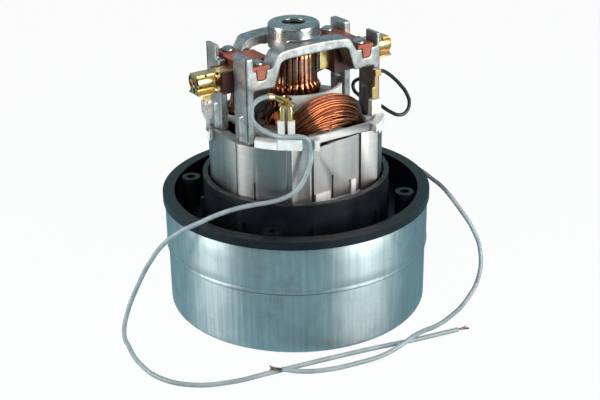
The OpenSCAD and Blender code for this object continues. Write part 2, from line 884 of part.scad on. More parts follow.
module lower_insulator() {
    color("ivory") {
        translate([0, 0, stack_z0]) mirror([0, 0, 1]) {
            insulator_plate();
            inner_wall(insulator_wall_h - 6);
        }
        for (s = [0, 180]) rotate([0, 0, s]) {
            lower_tab(-13, 9, 5);
            lower_tab(9, 3, 8);
        }
    }
}

// Field coils

function spread(v) = sign(v) * pow(abs(v), coil_power);
function crown(t) = max(0, (abs(spread(sin(t))) - crown_start) / (1 - crown_start));
function ease(w) = w * w * (3 - 2 * w);
function coil_centre(t) = [
    coil_half_w * spread(cos(t)),
    -coil_y_side - (coil_y_crown - coil_y_side) * ease(crown(t)),
    stack_mid + coil_half_h * spread(sin(t))
];
function coil_normal(t) = unit([coil_half_h * spread(cos(t)) * 0.9, 0, coil_half_w * spread(sin(t)) * 1.1]);
function coil_a(t) = side_a + (crown_a - side_a) * ease(crown(t));
function coil_b(t) = side_b + (crown_b - side_b) * ease(crown(t));
function coil_point(t, q, inset) =
    coil_centre(t) + (coil_a(t) - inset) * cos(q) * coil_normal(t)
    + (coil_b(t) - inset) * sin(q) * [0, -1, 0];

winding_rings = [
    for (i = [0:loop_count * coil_steps])
        coil_point(
            360 * i / coil_steps,
            wind_from + (wind_to - wind_from) * i / (loop_count * coil_steps),
            wire_d / 2
        )
];
least_gap = min([
    for (i = [0:len(winding_rings) - 1 - coil_steps])
        norm(winding_rings[i + coil_steps] - winding_rings[i])
]) - wire_d;
echo(least_winding_gap = least_gap);

module coil_core() {
    inset = wire_d + wire_gap;
    rings = [
        for (i = [0:coil_steps - 1], k = [0:core_sides - 1])
            coil_point(360 * i / coil_steps, 360 * k / core_sides, inset)
    ];
    walls = [
        for (i = [0:coil_steps - 1], k = [0:core_sides - 1])
            let (j = (i + 1) % coil_steps, q = (k + 1) % core_sides)
            each [
                [i * core_sides + k, i * core_sides + q, j * core_sides + q],
                [i * core_sides + k, j * core_sides + q, j * core_sides + k]
            ]
    ];
    polyhedron(points = rings, faces = walls);
}

module front_coil_core() {
    color([0.55, 0.26, 0.12]) coil_core();
}

module rear_coil_core() {
    color([0.55, 0.26, 0.12]) rear() coil_core();
}

module front_winding() {
    color([0.8, 0.4, 0.16]) tube(winding_rings, wire_d, wire_sides);
}

module rear_winding() {
    color([0.8, 0.4, 0.16]) rear() tube(winding_rings, wire_d, wire_sides);
}

// Bracket

module rail_shape() {
    for (s = [0, 1]) mirror([s, 0]) polygon([
        [0, rail_top_z], [12, rail_top_z - 0.3], [rail_top_half - 2.5, rail_top_z - 1.1],
        [rail_top_half - 0.6, rail_top_z - 2], [rail_top_half + 0.6, rail_top_z - 4],
        [rail_drop_half, ear_seat_z],
        [bracket_half - leg_t + eps, ear_seat_z], [bracket_half - leg_t + eps, rail_low_z],
        [arch_foot_half, rail_low_z], [arch_half + 1, rail_arch_z - 5], [arch_half, rail_arch_z - 1.8],
        [arch_half - 2, rail_arch_z - 0.6], [arch_half - 6, rail_arch_z - 0.2], [0, rail_arch_z]
    ]);
}

// The notch in a rail's face, or the stem of a holder's ear that sits in it
module notch_shape(gap) {
    for (s = [0, 1]) mirror([s, 0]) polygon([
        [notch_x - notch_w / 2 + gap, ear_seat_z + 0.5], [notch_x - notch_w / 2 + 0.8 + gap, notch_z + gap],
        [notch_x + notch_w / 2 - 0.8 - gap, notch_z + gap], [notch_x + notch_w / 2 - gap, ear_seat_z + 0.5]
    ]);
}

module rail() {
    difference() {
        translate([0, -bracket_side + rail_w, 0]) rotate([90, 0, 0]) linear_extrude(rail_w) rail_shape();
        translate([0, -bracket_side + notch_y, 0]) rotate([90, 0, 0]) linear_extrude(notch_y + 1)
            notch_shape(0);
    }
}

module leg() {
    leg_w = bracket_side - leg_in_y;
    foot_h = 14;
    translate([-bracket_half, -bracket_side, stack_z1]) cube([leg_t, leg_w, ear_seat_z - stack_z1]);
    translate([-bolt_x, -bolt_y, stack_z1]) cylinder(r = 3.2, h = foot_h, $fn = 48);
}

// The bearing boss, as a half section
module boss_section() {
    round_r = 1.6;
    h = boss_z - boss_foot_z;
    square([bearing_boss_r, h - round_r]);
    square([bearing_boss_r - round_r, h]);
    translate([bearing_boss_r - round_r, h - round_r]) circle(round_r, $fn = small_fn);
}

// The fillet where the boss stands on a rail, as a half section
module boss_fillet() {
    flare = 2.6;
    foot = 1.4;
    h = rail_top_z - boss_foot_z - foot + flare;
    difference() {
        square([bearing_boss_r + flare, h]);
        translate([bearing_boss_r + flare, h]) circle(flare, $fn = small_fn);
    }
}

module end_bracket() {
    post_h = post_z - ear_seat_z + eps;
    color("gainsboro") difference() {
        union() {
            for (s = [0, 180]) rotate([0, 0, s]) {
                rail();
                leg();
                mirror([1, 0, 0]) leg();
                translate([-bracket_half, -bracket_side, ear_seat_z - eps])
                    cube([leg_t, bracket_side - leg_in_y, post_h]);
                translate([bracket_half - leg_t / 2, -bracket_side, ear_seat_z - eps])
                    cube([leg_t / 2, rail_w, post_h]);
            }
            translate([0, 0, boss_foot_z]) rotate_extrude() boss_section();
            intersection() {
                translate([0, 0, boss_foot_z]) rotate_extrude() boss_fillet();
                for (s = [0, 180]) rotate([0, 0, s])
                    translate([-cutter, -bracket_side, boss_foot_z - eps])
                        cube([2 * cutter, rail_w, cutter]);
            }
        }
        translate([0, 0, boss_foot_z - 8])
            cylinder(r = bearing_r + press_gap, h = boss_z - boss_lip - boss_foot_z + 8);
        cylinder(r = shaft_window_r, h = boss_z + 1);
        four(bolt_x, bolt_y) translate([0, 0, stack_z1 - 1])
            cylinder(r = bolt_r + press_gap, h = bolt_in_bracket + 2, $fn = 48);
        four(screw_x, screw_y) translate([0, 0, ear_seat_z - screw_depth - 0.5])
            cylinder(r = screw_r + press_gap, h = screw_depth + 1, $fn = 48);
    }
}

module through_bolts() {
    head_h = 2.4;
    color("silver") four(bolt_x, bolt_y) {
        translate([0, 0, stack_z0 - shelf_h - head_h]) cylinder(r = bolt_head_r, h = head_h, $fn = 48);
        translate([0, 0, stack_z0 - shelf_h - eps])
            cylinder(r = bolt_r, h = shelf_h + stack_h + bolt_in_bracket, $fn = 48);
    }
}

module brush_screws() {
    head_h = 2.3;
    dome_r = (screw_head_r * screw_head_r + head_h * head_h) / (2 * head_h);
    color("silver") four(screw_x, screw_y) {
        translate([0, 0, ear_seat_z - screw_depth])
            cylinder(r = screw_r, h = screw_depth + ear_t + eps, $fn = 48);
        translate([0, 0, ear_seat_z + ear_t]) rotate_extrude() intersection() {
            translate([0, head_h - dome_r]) circle(dome_r);
            square([screw_head_r, head_h]);
        }
    }
}

// Brush gear, drawn on the +X side

module holder() {
    hole_w = tube_w + 2 * slide_gap;
    hole_h = tube_h + 2 * slide_gap;
    color([0.55, 0.16, 0.1]) difference() {
        union() {
            translate([holder_x0, -holder_wide / 2, holder_z0])
                cube([holder_wide_x - holder_x0, holder_wide, ear_seat_z + ear_t - holder_z0]);
            translate([holder_wide_x - eps, -holder_narrow / 2, tube_z0 - 1])
                cube([holder_x1 - holder_wide_x + eps, holder_narrow, tube_h + 1]);
            translate([ear_x0, -bracket_side + 0.8, ear_seat_z])
                cube([ear_x1 - ear_x0, 2 * bracket_side - 1.6, ear_t]);
            for (s = [0, 1]) mirror([0, s, 0]) intersection() {
                translate([0, -bracket_side + notch_y - 0.3, 0]) rotate([90, 0, 0])
                    linear_extrude(notch_y - 0.5) notch_shape(0.3);
                translate([0, -cutter, 0]) cube(2 * cutter);
            }
        }
        translate([holder_x0 - 1, -hole_w / 2, brush_z - hole_h / 2])
            cube([holder_x1 - holder_x0 + 2, hole_w, hole_h]);
        for (s = [-1, 1])
            translate([screw_x, s * screw_y, ear_seat_z - 1])
                cylinder(r = screw_r + slide_gap, h = 4, $fn = 48);
    }
}

module tube_section(wall) {
    square([tube_w - 2 * wall, tube_h - 2 * wall], center = true);
}

module brush_tube() {
    bulge_r = 3.1;
    wing = 10.6;
    tab_h = 3;
    color([0.85, 0.7, 0.3]) {
        translate([tube_start, 0, brush_z]) rotate([90, 0, 90]) linear_extrude(tube_end - tube_start)
            difference() {
            tube_section(0);
            tube_section(tube_wall);
        }
        translate([swage_x, 0, brush_z]) rotate([90, 0, 90]) linear_extrude(tube_end - swage_x)
            difference() {
            union() {
                for (s = [-1, 1]) translate([s * 2, 1.2]) circle(bulge_r, $fn = 48);
                translate([-wing / 2, -tube_h / 2]) square([wing, tube_wall + 0.2]);
            }
            tube_section(0.3);
        }
        for (s = [-1, 1])
            translate([tube_end - tube_wall, -tube_w / 2 + 0.3, s > 0 ? tube_z1 - tab_h : tube_z0 + 0.3])
                cube([tube_wall, tube_w - 0.6, tab_h - 0.3]);
    }
}

module carbon_brush() {
    color([0.15, 0.15, 0.16]) difference() {
        translate([brush_tip - 2, -brush_w / 2, brush_z - brush_h / 2])
            cube([brush_len + 2, brush_w, brush_h]);
        translate([0, 0, brush_z - brush_h]) cylinder(r = brush_tip, h = 2 * brush_h);
    }
}

module brush_spring() {
    x0 = brush_back + spring_wire / 2 + 0.05;
    x1 = tube_end - tube_wall - spring_wire / 2 - 0.05;
    per_turn = 8;
    n = spring_turns * per_turn;
    color("silver") tube([
        for (i = [0:n])
            let (a = 360 * i / per_turn)
            [x0 + (x1 - x0) * i / n, spring_r * cos(a), brush_z + spring_r * sin(a)]
    ], spring_wire, 6);
}

module tube_terminal() {
    w = 4.6;
    t = 0.8;
    h = 10.6;
    color([0.85, 0.7, 0.3]) translate([tab_x - w / 2, tube_w / 2 - 2.2, tube_z0 - h]) cube([w, t, h]);
}

module left_brush_holder() { rear() holder(); }
module right_brush_holder() { holder(); }
module left_brush_tube() { rear() brush_tube(); }
module right_brush_tube() { brush_tube(); }
module left_carbon_brush() { rear() carbon_brush(); }
module right_carbon_brush() { carbon_brush(); }
module left_brush_spring() { rear() brush_spring(); }
module right_brush_spring() { brush_spring(); }
module left_tube_terminal() { rear() tube_terminal(); }
module right_tube_terminal() { tube_terminal(); }

// Wiring

module left_jumper() {
    color("whitesmoke") tube(left_route, jumper_d, 8);
}

// The plug on the end of the left jumper, seated on the side of the stack
module jumper_plug() {
    w = 3;
    color("ivory") translate([-stack_side - 2.6, 11.2 - w / 2, plug_z0]) cube([2.6, w, plug_h]);
}

module black_jumper() {
    color([0.08, 0.08, 0.1]) tube(black_route, jumper_d, 8);
}

module crimp_terminal() {
    prong = 3.2;
    prong_t = 1.2;
    gap = 1.8;
    barrel_z = crimp_z1 - crimp_barrel_h;
    barrel = [5, 6, crimp_barrel_h];
    shoulder = [3.6, 8.2, 0.8];
    color([0.85, 0.7, 0.3]) rotate([0, 0, block_angle]) {
        for (s = [-1, 1])
            translate([crimp_ring - prong_t / 2, s * (gap + prong) / 2 - prong / 2, crimp_leg_top])
                cube([prong_t, prong, barrel_z - crimp_leg_top + eps]);
        translate([crimp_ring - barrel[0] / 2, -shoulder[1] / 2, barrel_z]) cube(shoulder);
        difference() {
            translate([crimp_ring - barrel[0] / 2, -barrel[1] / 2, barrel_z]) cube(barrel);
            translate([crimp_ring, 0, barrel_z + barrel[2] / 2]) rotate([0, 90, 0])
                cylinder(r = barrel[1] / 4, h = 2 * barrel[0], center = true, $fn = 48);
        }
    }
}

module front_crimp_terminal() { crimp_terminal(); }
module rear_crimp_terminal() { rear() crimp_terminal(); }

// A flat strip that narrows to a crimp barrel
module strip_terminal(top) {
    low = 6.4;
    wide = 4;
    thin = 0.8;
    stem = [-0.4, 2.4];
    barrel = [3.8, 3, 3.4];
    color([0.85, 0.7, 0.3]) translate([post_at[0], post_at[1] - thin / 2, post_top]) {
        translate([-wide / 2, 0, 0]) cube([wide, thin, low]);
        translate([stem[0], 0, 0]) cube([stem[1], thin, top - post_top - barrel[2] + eps]);
        translate([stem[0], -0.6, top - post_top - barrel[2]]) cube(barrel);
    }
}

module jumper_terminal() { strip_terminal(strip_top + 0.8); }

module coil_terminal() {
    rear() mirror([1, 0, 0]) translate([-2 * post_at[0], 0, 0]) strip_terminal(strip_top - 6);
}

module strands(p) {
    d = tangent(p, len(p) - 1);
    turn = atan2(d[1], d[0]);
    color([0.8, 0.42, 0.22]) translate(p[len(p) - 1] + strand_r * d) rotate([0, 0, turn]) {
        for (a = [-14, 0, 14], b = [-6, 6])
            rotate([0, b, a]) rotate([0, 90, 0]) cylinder(r = strand_r, h = strand_len, $fn = 16);
    }
}

module front_lead() {
    color("lightgray") tube(front_route, lead_d, 8);
}

module front_lead_strands() { strands(front_route); }

module rear_lead() {
    color("lightgray") tube(rear_route, lead_d, 8);
}

module rear_lead_strands() { strands(rear_route); }

inlet_can();
upper_can();
first_impeller();
second_impeller();
interstage_diffuser();
fan_spacers();
fan_washers();
fan_nut();
motor_housing();
lower_outer_race();
lower_inner_race();
lower_bearing_balls();
upper_outer_race();
upper_inner_race();
upper_bearing_balls();
bearing_shields();
preload_washer();
shaft();
armature_core();
armature_end_discs();
armature_windings();
commutator_core();
commutator_bars();
bearing_spacer();
stator_stack();
upper_insulator();
lower_insulator();
front_coil_core();
rear_coil_core();
front_winding();
rear_winding();
end_bracket();
through_bolts();
brush_screws();
left_brush_holder();
right_brush_holder();
left_brush_tube();
right_brush_tube();
left_carbon_brush();
right_carbon_brush();
left_brush_spring();
right_brush_spring();
left_tube_terminal();
right_tube_terminal();
left_jumper();
jumper_plug();
black_jumper();
front_crimp_terminal();
rear_crimp_terminal();
jumper_terminal();
coil_terminal();
front_lead();
front_lead_strands();
rear_lead();
rear_lead_strands();
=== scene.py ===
"""The looks of a two-stage vacuum motor unit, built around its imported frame.

Lengths are written in millimetres and become metres through at() and MM.
The shaft runs up Z, the brushes lie along X and the front field coil faces -Y.
"""

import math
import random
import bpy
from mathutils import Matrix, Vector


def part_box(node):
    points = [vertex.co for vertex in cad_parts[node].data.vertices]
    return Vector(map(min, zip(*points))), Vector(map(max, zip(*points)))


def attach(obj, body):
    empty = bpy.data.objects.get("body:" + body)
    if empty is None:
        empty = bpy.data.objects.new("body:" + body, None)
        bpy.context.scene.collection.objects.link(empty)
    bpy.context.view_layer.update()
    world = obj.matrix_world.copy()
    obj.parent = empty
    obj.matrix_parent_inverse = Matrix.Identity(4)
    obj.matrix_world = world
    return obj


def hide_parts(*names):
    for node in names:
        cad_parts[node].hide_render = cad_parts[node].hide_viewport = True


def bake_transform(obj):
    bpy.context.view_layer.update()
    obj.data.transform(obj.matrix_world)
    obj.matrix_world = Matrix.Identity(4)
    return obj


bl_info = {
    "name": "Vacuum motor unit",
    "version": (1, 0, 0),
    "blender": (4, 5, 0),
    "location": "View3D > Sidebar > Motor unit",
    "description": "Finishes a vacuum motor unit: sheet steel, castings, windings, brush gear and leads",
    "category": "Object",
}

import bmesh
import bpy
from mathutils import Matrix, Vector, noise

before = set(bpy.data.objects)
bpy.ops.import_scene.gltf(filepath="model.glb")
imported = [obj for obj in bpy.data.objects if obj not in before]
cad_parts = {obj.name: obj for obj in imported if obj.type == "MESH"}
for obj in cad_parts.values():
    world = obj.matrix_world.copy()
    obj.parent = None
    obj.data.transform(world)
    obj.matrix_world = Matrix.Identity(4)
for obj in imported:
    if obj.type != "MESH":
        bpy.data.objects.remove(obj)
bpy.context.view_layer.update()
MM = 0.001
WHITE = (1.0, 1.0, 1.0)

# Stations of the frame, in millimetres, with one angle in degrees
SEAM_Z = 34.9
CAN_R = 71.0
SHEET = 0.6
RIM_UNDER = 60.2
STACK_Z0, STACK_Z1 = 70.3, 102.3
SHEET_PITCH = 0.65
BRUSH_Z = 132.8
EAR_TOP = 142.0
TUBE_END = 59.3
COMMUTATOR_R = 12.0
NOTCHES = (48.0, 54.3)
BLOCK_ANGLE = -129.0
CRIMP_RING = 41.4

# Bars of the commutator and slots of the armature
BARS = 24
SLOTS = 12

# Centre lines of the wiring, the points of the solids' own routes
FRONT_ROUTE = (
    (-31, -30, 129.2), (-35.6, -29.6, 130), (-40, -28.2, 128.6), (-43, -27.5, 125),
    (-43.4, -28, 120.4), (-41, -31, 115.8), (-36.6, -34.2, 112.4), (-31.6, -35.4, 110.2),
    (-27, -37, 109.7), (-22.6, -39.4, 109.5), (-19.6, -41, 108), (-18.1, -41.7, 104.4),
    (-18, -42.1, 100), (-19.2, -43, 95.6), (-21.4, -43.2, 91), (-23.8, -42.8, 86.4),
    (-27.6, -41.4, 81.8), (-33, -38.4, 78.4), (-39, -35.4, 76.9), (-46, -32.4, 76.2),
    (-54, -29, 75), (-62, -23.4, 71.6), (-69.4, -18, 67.2), (-77, -12.6, 62.6),
    (-83, -4.4, 54), (-87.4, 5.6, 40), (-92, 13, 24), (-98, 14.6, 10), (-103.4, 9, 2.4),
    (-107.4, -5, 1.4), (-110, -23, 1.4), (-107.4, -41, 1.4), (-97.6, -54.6, 1.4),
    (-80.6, -63.2, 1.4), (-60.6, -67, 1.4), (-41.6, -70.4, 1.4), (-22, -74, 1.4),
    (-2, -78.2, 1.4), (16, -82.6, 1.4), (43, -87.8, 1.4),
)
# Its first points are the front lead's, half a turn round the shaft
REAR_ROUTE = (
    *((-x, -y, z) for x, y, z in FRONT_ROUTE[:12]),
    (18, 42.1, 99), (19, 43.6, 92), (20.6, 46.6, 84.4), (22.6, 51.4, 76.6), (25.6, 57, 70.4),
    (30, 62.4, 67.2), (36, 67.4, 65), (45, 69, 60.6), (58, 62, 55.6), (71, 47, 53.4),
    (80, 26, 53.4), (82.8, 6, 54.4), (81.4, -8, 54.8), (79.4, -19, 54.6), (76.4, -30.4, 55.2),
    (73, -41, 55), (75.2, -49.4, 47.6), (79.4, -55.6, 37), (81, -60.4, 26), (75.8, -66, 13.4),
    (63.6, -70.6, 4.6), (50, -74.6, 1.4), (36, -78.4, 1.4), (24, -81.4, 3.4),
    (16.6, -83.3, 3.9), (9, -85, 3.2), (-3, -85.6, 1.4), (-20, -84.4, 1.4), (-36, -80.6, 1.4),
    (-47, -75.6, 1.8), (-56, -70.6, 3.8),
)
BLACK_ROUTE = (
    (36.4, -25.2, 128.2), (37.6, -25.2, 128.2), (40, -24.2, 127.2), (43, -23, 125.4),
    (48.6, -22, 121), (53.4, -21.4, 116.2), (57.8, -21.2, 110.6), (59.6, -21.6, 104.8),
    (57.6, -22, 100.6), (53, -21.6, 99.4), (49, -18.6, 101.2), (46.6, -13.6, 103.6),
    (45.4, -8, 104.4), (45, -1, 104.4), (45, 5, 105), (45, 9.4, 107), (45.2, 10, 110),
    (46.2, 7.8, 112.6), (48.8, 5, 113.8), (51.8, 3.1, 113.6), (53.6, 2.4, 115), (53.6, 2.4, 117.1),
)
LEFT_ROUTE = (
    (-53.6, -2.4, 117.1), (-53.6, -2.4, 114.4), (-53, -1.2, 111), (-51.8, 1.4, 108),
    (-50, 5, 105.8), (-47.8, 8.6, 104.6), (-46, 10.6, 103.6), (-45.4, 11.2, 101.9),
)


# Settings

def length_property(name, description, default, low, high):
    return bpy.props.FloatProperty(
        name=name, description=description + ", in millimetres", default=default, min=low, max=high,
        subtype="DISTANCE")


def count_property(name, description, default, low, high):
    return bpy.props.IntProperty(name=name, description=description, default=default, min=low, max=high)


def colour_property(name, description, default):
    return bpy.props.FloatVectorProperty(
        name=name, description=description, default=default, size=3, min=0, max=1, subtype="COLOR")


class FanCaseSettings(bpy.types.PropertyGroup):
    """Sizes of the sheet-steel fan case"""

    facets: count_property("Facets", "Faces round the case", 192, 48, 384)
    hem_rise: length_property("Hem", "How far the hem at the seam stands out", 0.3, 0.1, 0.5)
    dent: length_property("Dent", "Depth of the small dent in the lower can", 0.5, 0.0, 1.0)


class WindingSettings(bpy.types.PropertyGroup):
    """Sizes of the enamelled copper windings"""

    wire: length_property("Wire", "Diameter of the field coil's wire", 0.78, 0.4, 1.2)
    loops: count_property("Loops", "Loops in the outer layer of a field coil", 46, 12, 80)
    wander: bpy.props.FloatProperty(
        name="Wander", description="How far a loop strays from its neighbours, in degrees",
        default=4.6, min=0.0, max=10.0)
    armature_wires: count_property(
        "Armature wires", "Wires in each bundle over the armature's ends", 6, 2, 10)


class LeadSettings(bpy.types.PropertyGroup):
    """Sizes of the leads and jumpers"""

    lead: length_property("Lead", "Diameter of the grey leads", 2.4, 1.6, 2.6)
    jumper: length_property("Jumper", "Diameter of the jumpers", 2.0, 1.4, 2.2)
    strands: count_property("Strands", "Copper strands in a bare end", 19, 7, 30)


class FinishSettings(bpy.types.PropertyGroup):
    """Colours of the finishes"""

    zinc: colour_property("Zinc", "Zinc-plated sheet", (0.41, 0.47, 0.485))
    alloy: colour_property("Cast alloy", "Cast end bracket", (0.33, 0.335, 0.33))
    moulding: colour_property("Black moulding", "Motor housing", (0.005, 0.007, 0.009))
    nylon: colour_property("Nylon", "Coil insulators", (0.72, 0.74, 0.72))
    phenolic: colour_property("Phenolic", "Brush holders", (0.34, 0.075, 0.035))
    brass: colour_property("Brass", "Brush tubes and terminals", (0.78, 0.49, 0.20))
    copper: colour_property("Copper", "Enamelled wire", (0.44, 0.098, 0.020))
    lead: colour_property("Lead", "Grey lead", (0.26, 0.32, 0.345))


class StageSettings(bpy.types.PropertyGroup):
    """Camera, floor and light"""

    focal: bpy.props.FloatProperty(
        name="Focal length", description="Lens of the camera", default=71.64, min=20, max=200,
        subtype="DISTANCE_CAMERA")
    floor: colour_property("Floor", "Colour of the floor", (0.33, 0.58, 0.68))
    key: bpy.props.FloatProperty(
        name="Key light", description="Strength of the key light", default=2.4, min=0, max=60,
        subtype="POWER")


class MotorUnitSettings(bpy.types.PropertyGroup):
    """All the settings of the unit"""

    fan_case: bpy.props.PointerProperty(type=FanCaseSettings)
    winding: bpy.props.PointerProperty(type=WindingSettings)
    leads: bpy.props.PointerProperty(type=LeadSettings)
    finish: bpy.props.PointerProperty(type=FinishSettings)
    stage: bpy.props.PointerProperty(type=StageSettings)


def settings():
    return bpy.context.scene.motor_unit


# Node trees

def operation(name, swapped=False):
    """A method of Term that puts it and another value through a maths node."""
    def method(self, other):
        values = (other, self) if swapped else (self, other)
        return operate(self.tree, name, *values)
    return method


class Term:
    """A value in a node tree, with arithmetic between terms and numbers."""

    def __init__(self, tree, socket):
        self.tree = tree
        self.socket = socket

    def __abs__(self):
        return operate(self.tree, "ABSOLUTE", self)

    __add__ = operation("ADD")
    __radd__ = operation("ADD", swapped=True)
    __sub__ = operation("SUBTRACT")
    __rsub__ = operation("SUBTRACT", swapped=True)
    __mul__ = operation("MULTIPLY")
    __truediv__ = operation("DIVIDE")
    __pow__ = operation("POWER")


def feed(tree, socket, value):
    """Links a term to a socket, or sets the socket to a number, colour or vector."""
    if isinstance(value, Term):
        tree.links.new(value.socket, socket)
    elif hasattr(value, "__len__"):
        socket.default_value = (*value, 1.0)[:len(socket.default_value)]
    else:
        socket.default_value = value


def operate(tree, kind, *values):
    """Puts values through one maths node."""
    node = tree.nodes.new("ShaderNodeMath")
    node.operation = kind
    for socket, value in zip(node.inputs, values):
        feed(tree, socket, value)
    return Term(tree, node.outputs[0])


class Graph:
    """Builds one node tree, one call to a node."""

    def __init__(self, tree):
        self.tree = tree
        self.shader = tree.nodes.get("Principled BSDF")

    def add(self, kind, inputs=None, out=0, **options):
        node = self.tree.nodes.new(kind)
        for name, value in options.items():
            setattr(node, name, value)
        for name, value in (inputs or {}).items():
            feed(self.tree, node.inputs[name], value)
        return Term(self.tree, node.outputs[out])

    def other(self, term, out):
        """Another output of the node that a term comes from."""
        return Term(self.tree, term.socket.node.outputs[out])

    def end(self, kind, result):
        """Feeds the result to the tree's output node."""
        feed(self.tree, self.tree.nodes.new(kind).inputs[0], result)

    def blend(self, factor, first, second):
        return self.add("ShaderNodeMix", {0: factor, 6: first, 7: second}, 2, data_type="RGBA")

    def step(self, value, low, high):
        """Goes softly from 0 to 1 as a value goes from low to high."""
        return self.add("ShaderNodeMapRange", {0: value, 1: low, 2: high}, interpolation_type="SMOOTHSTEP")

    def edge(self, value, low, high):
        """The same between two lengths in millimetres."""
        return self.step(value, low * MM, high * MM)

    def place(self):
        return self.add("ShaderNodeTexCoord", out="Object")

    def noise(self, scale, detail=3.0, rough=0.55, where=None):
        """Noise over the object, over the object stretched by a tuple, or over a term."""
        if isinstance(where, tuple):
            where = self.add("ShaderNodeVectorMath", {0: self.place(), 1: where}, operation="MULTIPLY")
        return self.add("ShaderNodeTexNoise", {
            "Vector": where or self.place(), "Scale": scale, "Detail": detail, "Roughness": rough})

    def axes(self, where=None):
        first = self.add("ShaderNodeSeparateXYZ", {0: where or self.place()})
        return first, self.other(first, 1), self.other(first, 2)


MATERIALS = {}


def material(name):
    """The graph of a new material."""
    made = bpy.data.materials.new(name)
    made.use_nodes = True
    MATERIALS[name] = made
    return Graph(made.node_tree)


def surface(graph, tone, rough, relief, depth, strength, **values):
    """Feeds the shader a colour, a roughness, a bump from a relief, and other values by their names."""
    normal = graph.add("ShaderNodeBump", {"Height": relief, "Distance": depth, "Strength": strength})
    values.update(base_color=tone, roughness=rough, normal=normal)
    for name, value in values.items():
        label = name.replace("_", " ").title().replace("Ior", "IOR")
        feed(graph.tree, graph.shader.inputs[label], value)


def shade(colour, factors):
    """A colour made darker or brighter, by one factor or by a factor for each channel."""
    if isinstance(factors, float):
        factors = (factors,) * 3
    return tuple(min(1.0, c * f) for c, f in zip(colour, factors))


def ramp(graph, value, low, high, colour, dark, bright):
    """Goes from a darker to a brighter shade of a colour as a value goes from low to high."""
    return graph.blend(graph.step(value, low, high), shade(colour, dark), shade(colour, bright))


def fleck(graph, scale, low, high):
    """Small soft spots, 0 to 1."""
    return graph.step(graph.noise(scale, 2), low, high)


def zinc_finish(name, colour):
    """Zinc-plated sheet, drawn down the can, with faint spangle, handling marks and a painted shadow line
    under the hem at the seam.
    """
    graph = material(name)
    streak = graph.noise(420, 4, 0.62, (1, 1, 0.03))
    broad = graph.noise(17, 3, 0.55, (1, 1, 0.25))
    cells = graph.add("ShaderNodeTexVoronoi", {"Vector": graph.place(), "Scale": 190.0}, "Color")
    spangle = graph.add("ShaderNodeRGBToBW", {0: cells})
    smudge = graph.step(graph.noise(34, 5, 0.7), 0.57, 0.74)
    scratch = graph.step(graph.noise(900, 2, 0.55, (1, 1, 0.05)), 0.66, 0.74)
    light = streak * 0.40 + broad * 0.50 + spangle * 0.07
    tone = ramp(graph, light, 0.30, 0.66, colour, 0.76, 1.20)
    tone = graph.blend(smudge * 0.30, tone, shade(colour, 0.45))
    tone = graph.blend(scratch * 0.35, tone, shade(colour, 1.7))
    # Painted shadow: a near-black line just under the hem, where the step between the cans would cast shade.
    painted_hem_shadow = graph.edge(abs(graph.axes()[2] - (SEAM_Z - 0.2) * MM), 0.62, 0.30)
    tone = graph.blend(painted_hem_shadow * 0.82, tone, shade(colour, 0.10))
    rough = 0.36 + streak * 0.10 + smudge * 0.16 + spangle * 0.03
    surface(graph, tone, rough, streak + spangle * 0.2, 0.00004, 0.5,
            metallic=1.0, anisotropic=0.75, anisotropic_rotation=0.25)


def cast_finish(name, colour):
    """Die-cast alloy: mottled, pitted and rubbed, with painted shadow in the gaps where the legs meet the
    rails, and a turned boss.
    """
    graph = material(name)
    grain = graph.noise(1500, 3, 0.7)
    mottle = graph.noise(190, 4, 0.6)
    stain = graph.step(graph.noise(55, 3, 0.55, (1, 1, 0.5)), 0.50, 0.72)
    pit = fleck(graph, 900, 0.66, 0.74)
    spark = fleck(graph, 1300, 0.69, 0.76)
    skin = grain * 0.5 + mottle * 0.5
    tone = ramp(graph, skin, 0.36, 0.64, colour, 0.60, 1.35)
    tone = graph.blend(stain * 0.30, tone, shade(colour, 0.42))
    tone = graph.blend(pit * 0.55, tone, (0.05, 0.055, 0.06))
    tone = graph.blend(spark * 0.7, tone, (0.88, 0.89, 0.9))
    x, y, z = graph.axes()
    # Painted shadow: a near-black stripe at each leg's front corner, where the gap between leg and rail lies
    # in shade.
    painted_gap_shadow = graph.edge(abs(y), 18.5, 18.8) * graph.edge(abs(y), 19.75, 19.5)
    painted_gap_shadow = painted_gap_shadow * graph.edge(abs(x), 39.6, 40.0) * graph.edge(z, 103.5, 105)
    tone = graph.blend(painted_gap_shadow * 0.92, tone, (0.012, 0.014, 0.016))
    turned = graph.edge((x * x + y * y) ** 0.5, 14.6, 14.2) * graph.edge(z, 147.0, 148.5)
    surface(graph, tone, 0.32 + grain * 0.16 + stain * 0.10 - turned * 0.14,
            (skin - pit * 0.8) * (1.0 - turned * 0.8), 0.00012, 0.55, metallic=0.92)


def stack_finish(name, colour):
    """Stamped sheets seen edge-on: fine level lines, a varnished gloss and dull patches."""
    graph = material(name)
    wobble = graph.noise(60, 2, 0.55, (1, 1, 6)) * 0.6
    line = operate(graph.tree, "SINE", graph.axes()[2] * (2 * math.pi / (SHEET_PITCH * MM)) + wobble)
    each = graph.noise(1500, 1, 0.55, (0.02, 0.02, 1))
    draw = graph.noise(120, 3, 0.55, (1, 1, 0.06))
    patch = graph.step(graph.noise(45, 3, 0.6), 0.52, 0.70)
    light = line * 0.012 + each * 0.12 + draw * 0.60 + 0.34
    tone = ramp(graph, light, 0.45, 0.95, colour, 0.66, 1.30)
    tone = graph.blend(patch * 0.24, tone, shade(colour, 0.5))
    surface(graph, tone, 0.28 + patch * 0.12 + draw * 0.10, line, 0.00001, 0.25,
            metallic=0.95, anisotropic=0.75, anisotropic_rotation=0.25)


def moulded_finish(name, colour, gloss, dirt, wear, grain=1.0, **constants):
    """Moulded plastic with a fine skin, a little dust and an uneven gloss."""
    graph = material(name)
    skin = graph.noise(1400, 2, 0.6)
    cloud = graph.noise(70, 4, 0.62)
    dust = graph.step(graph.noise(420, 4, 0.7), 0.60, 0.76)
    tone = ramp(graph, cloud, 0.35, 0.66, colour, 0.82, 1.16)
    tone = graph.blend(dust * wear, tone, dirt)
    surface(graph, tone, gloss + cloud * 0.16 + dust * 0.10, skin, 0.00006 * grain, 0.35, **constants)


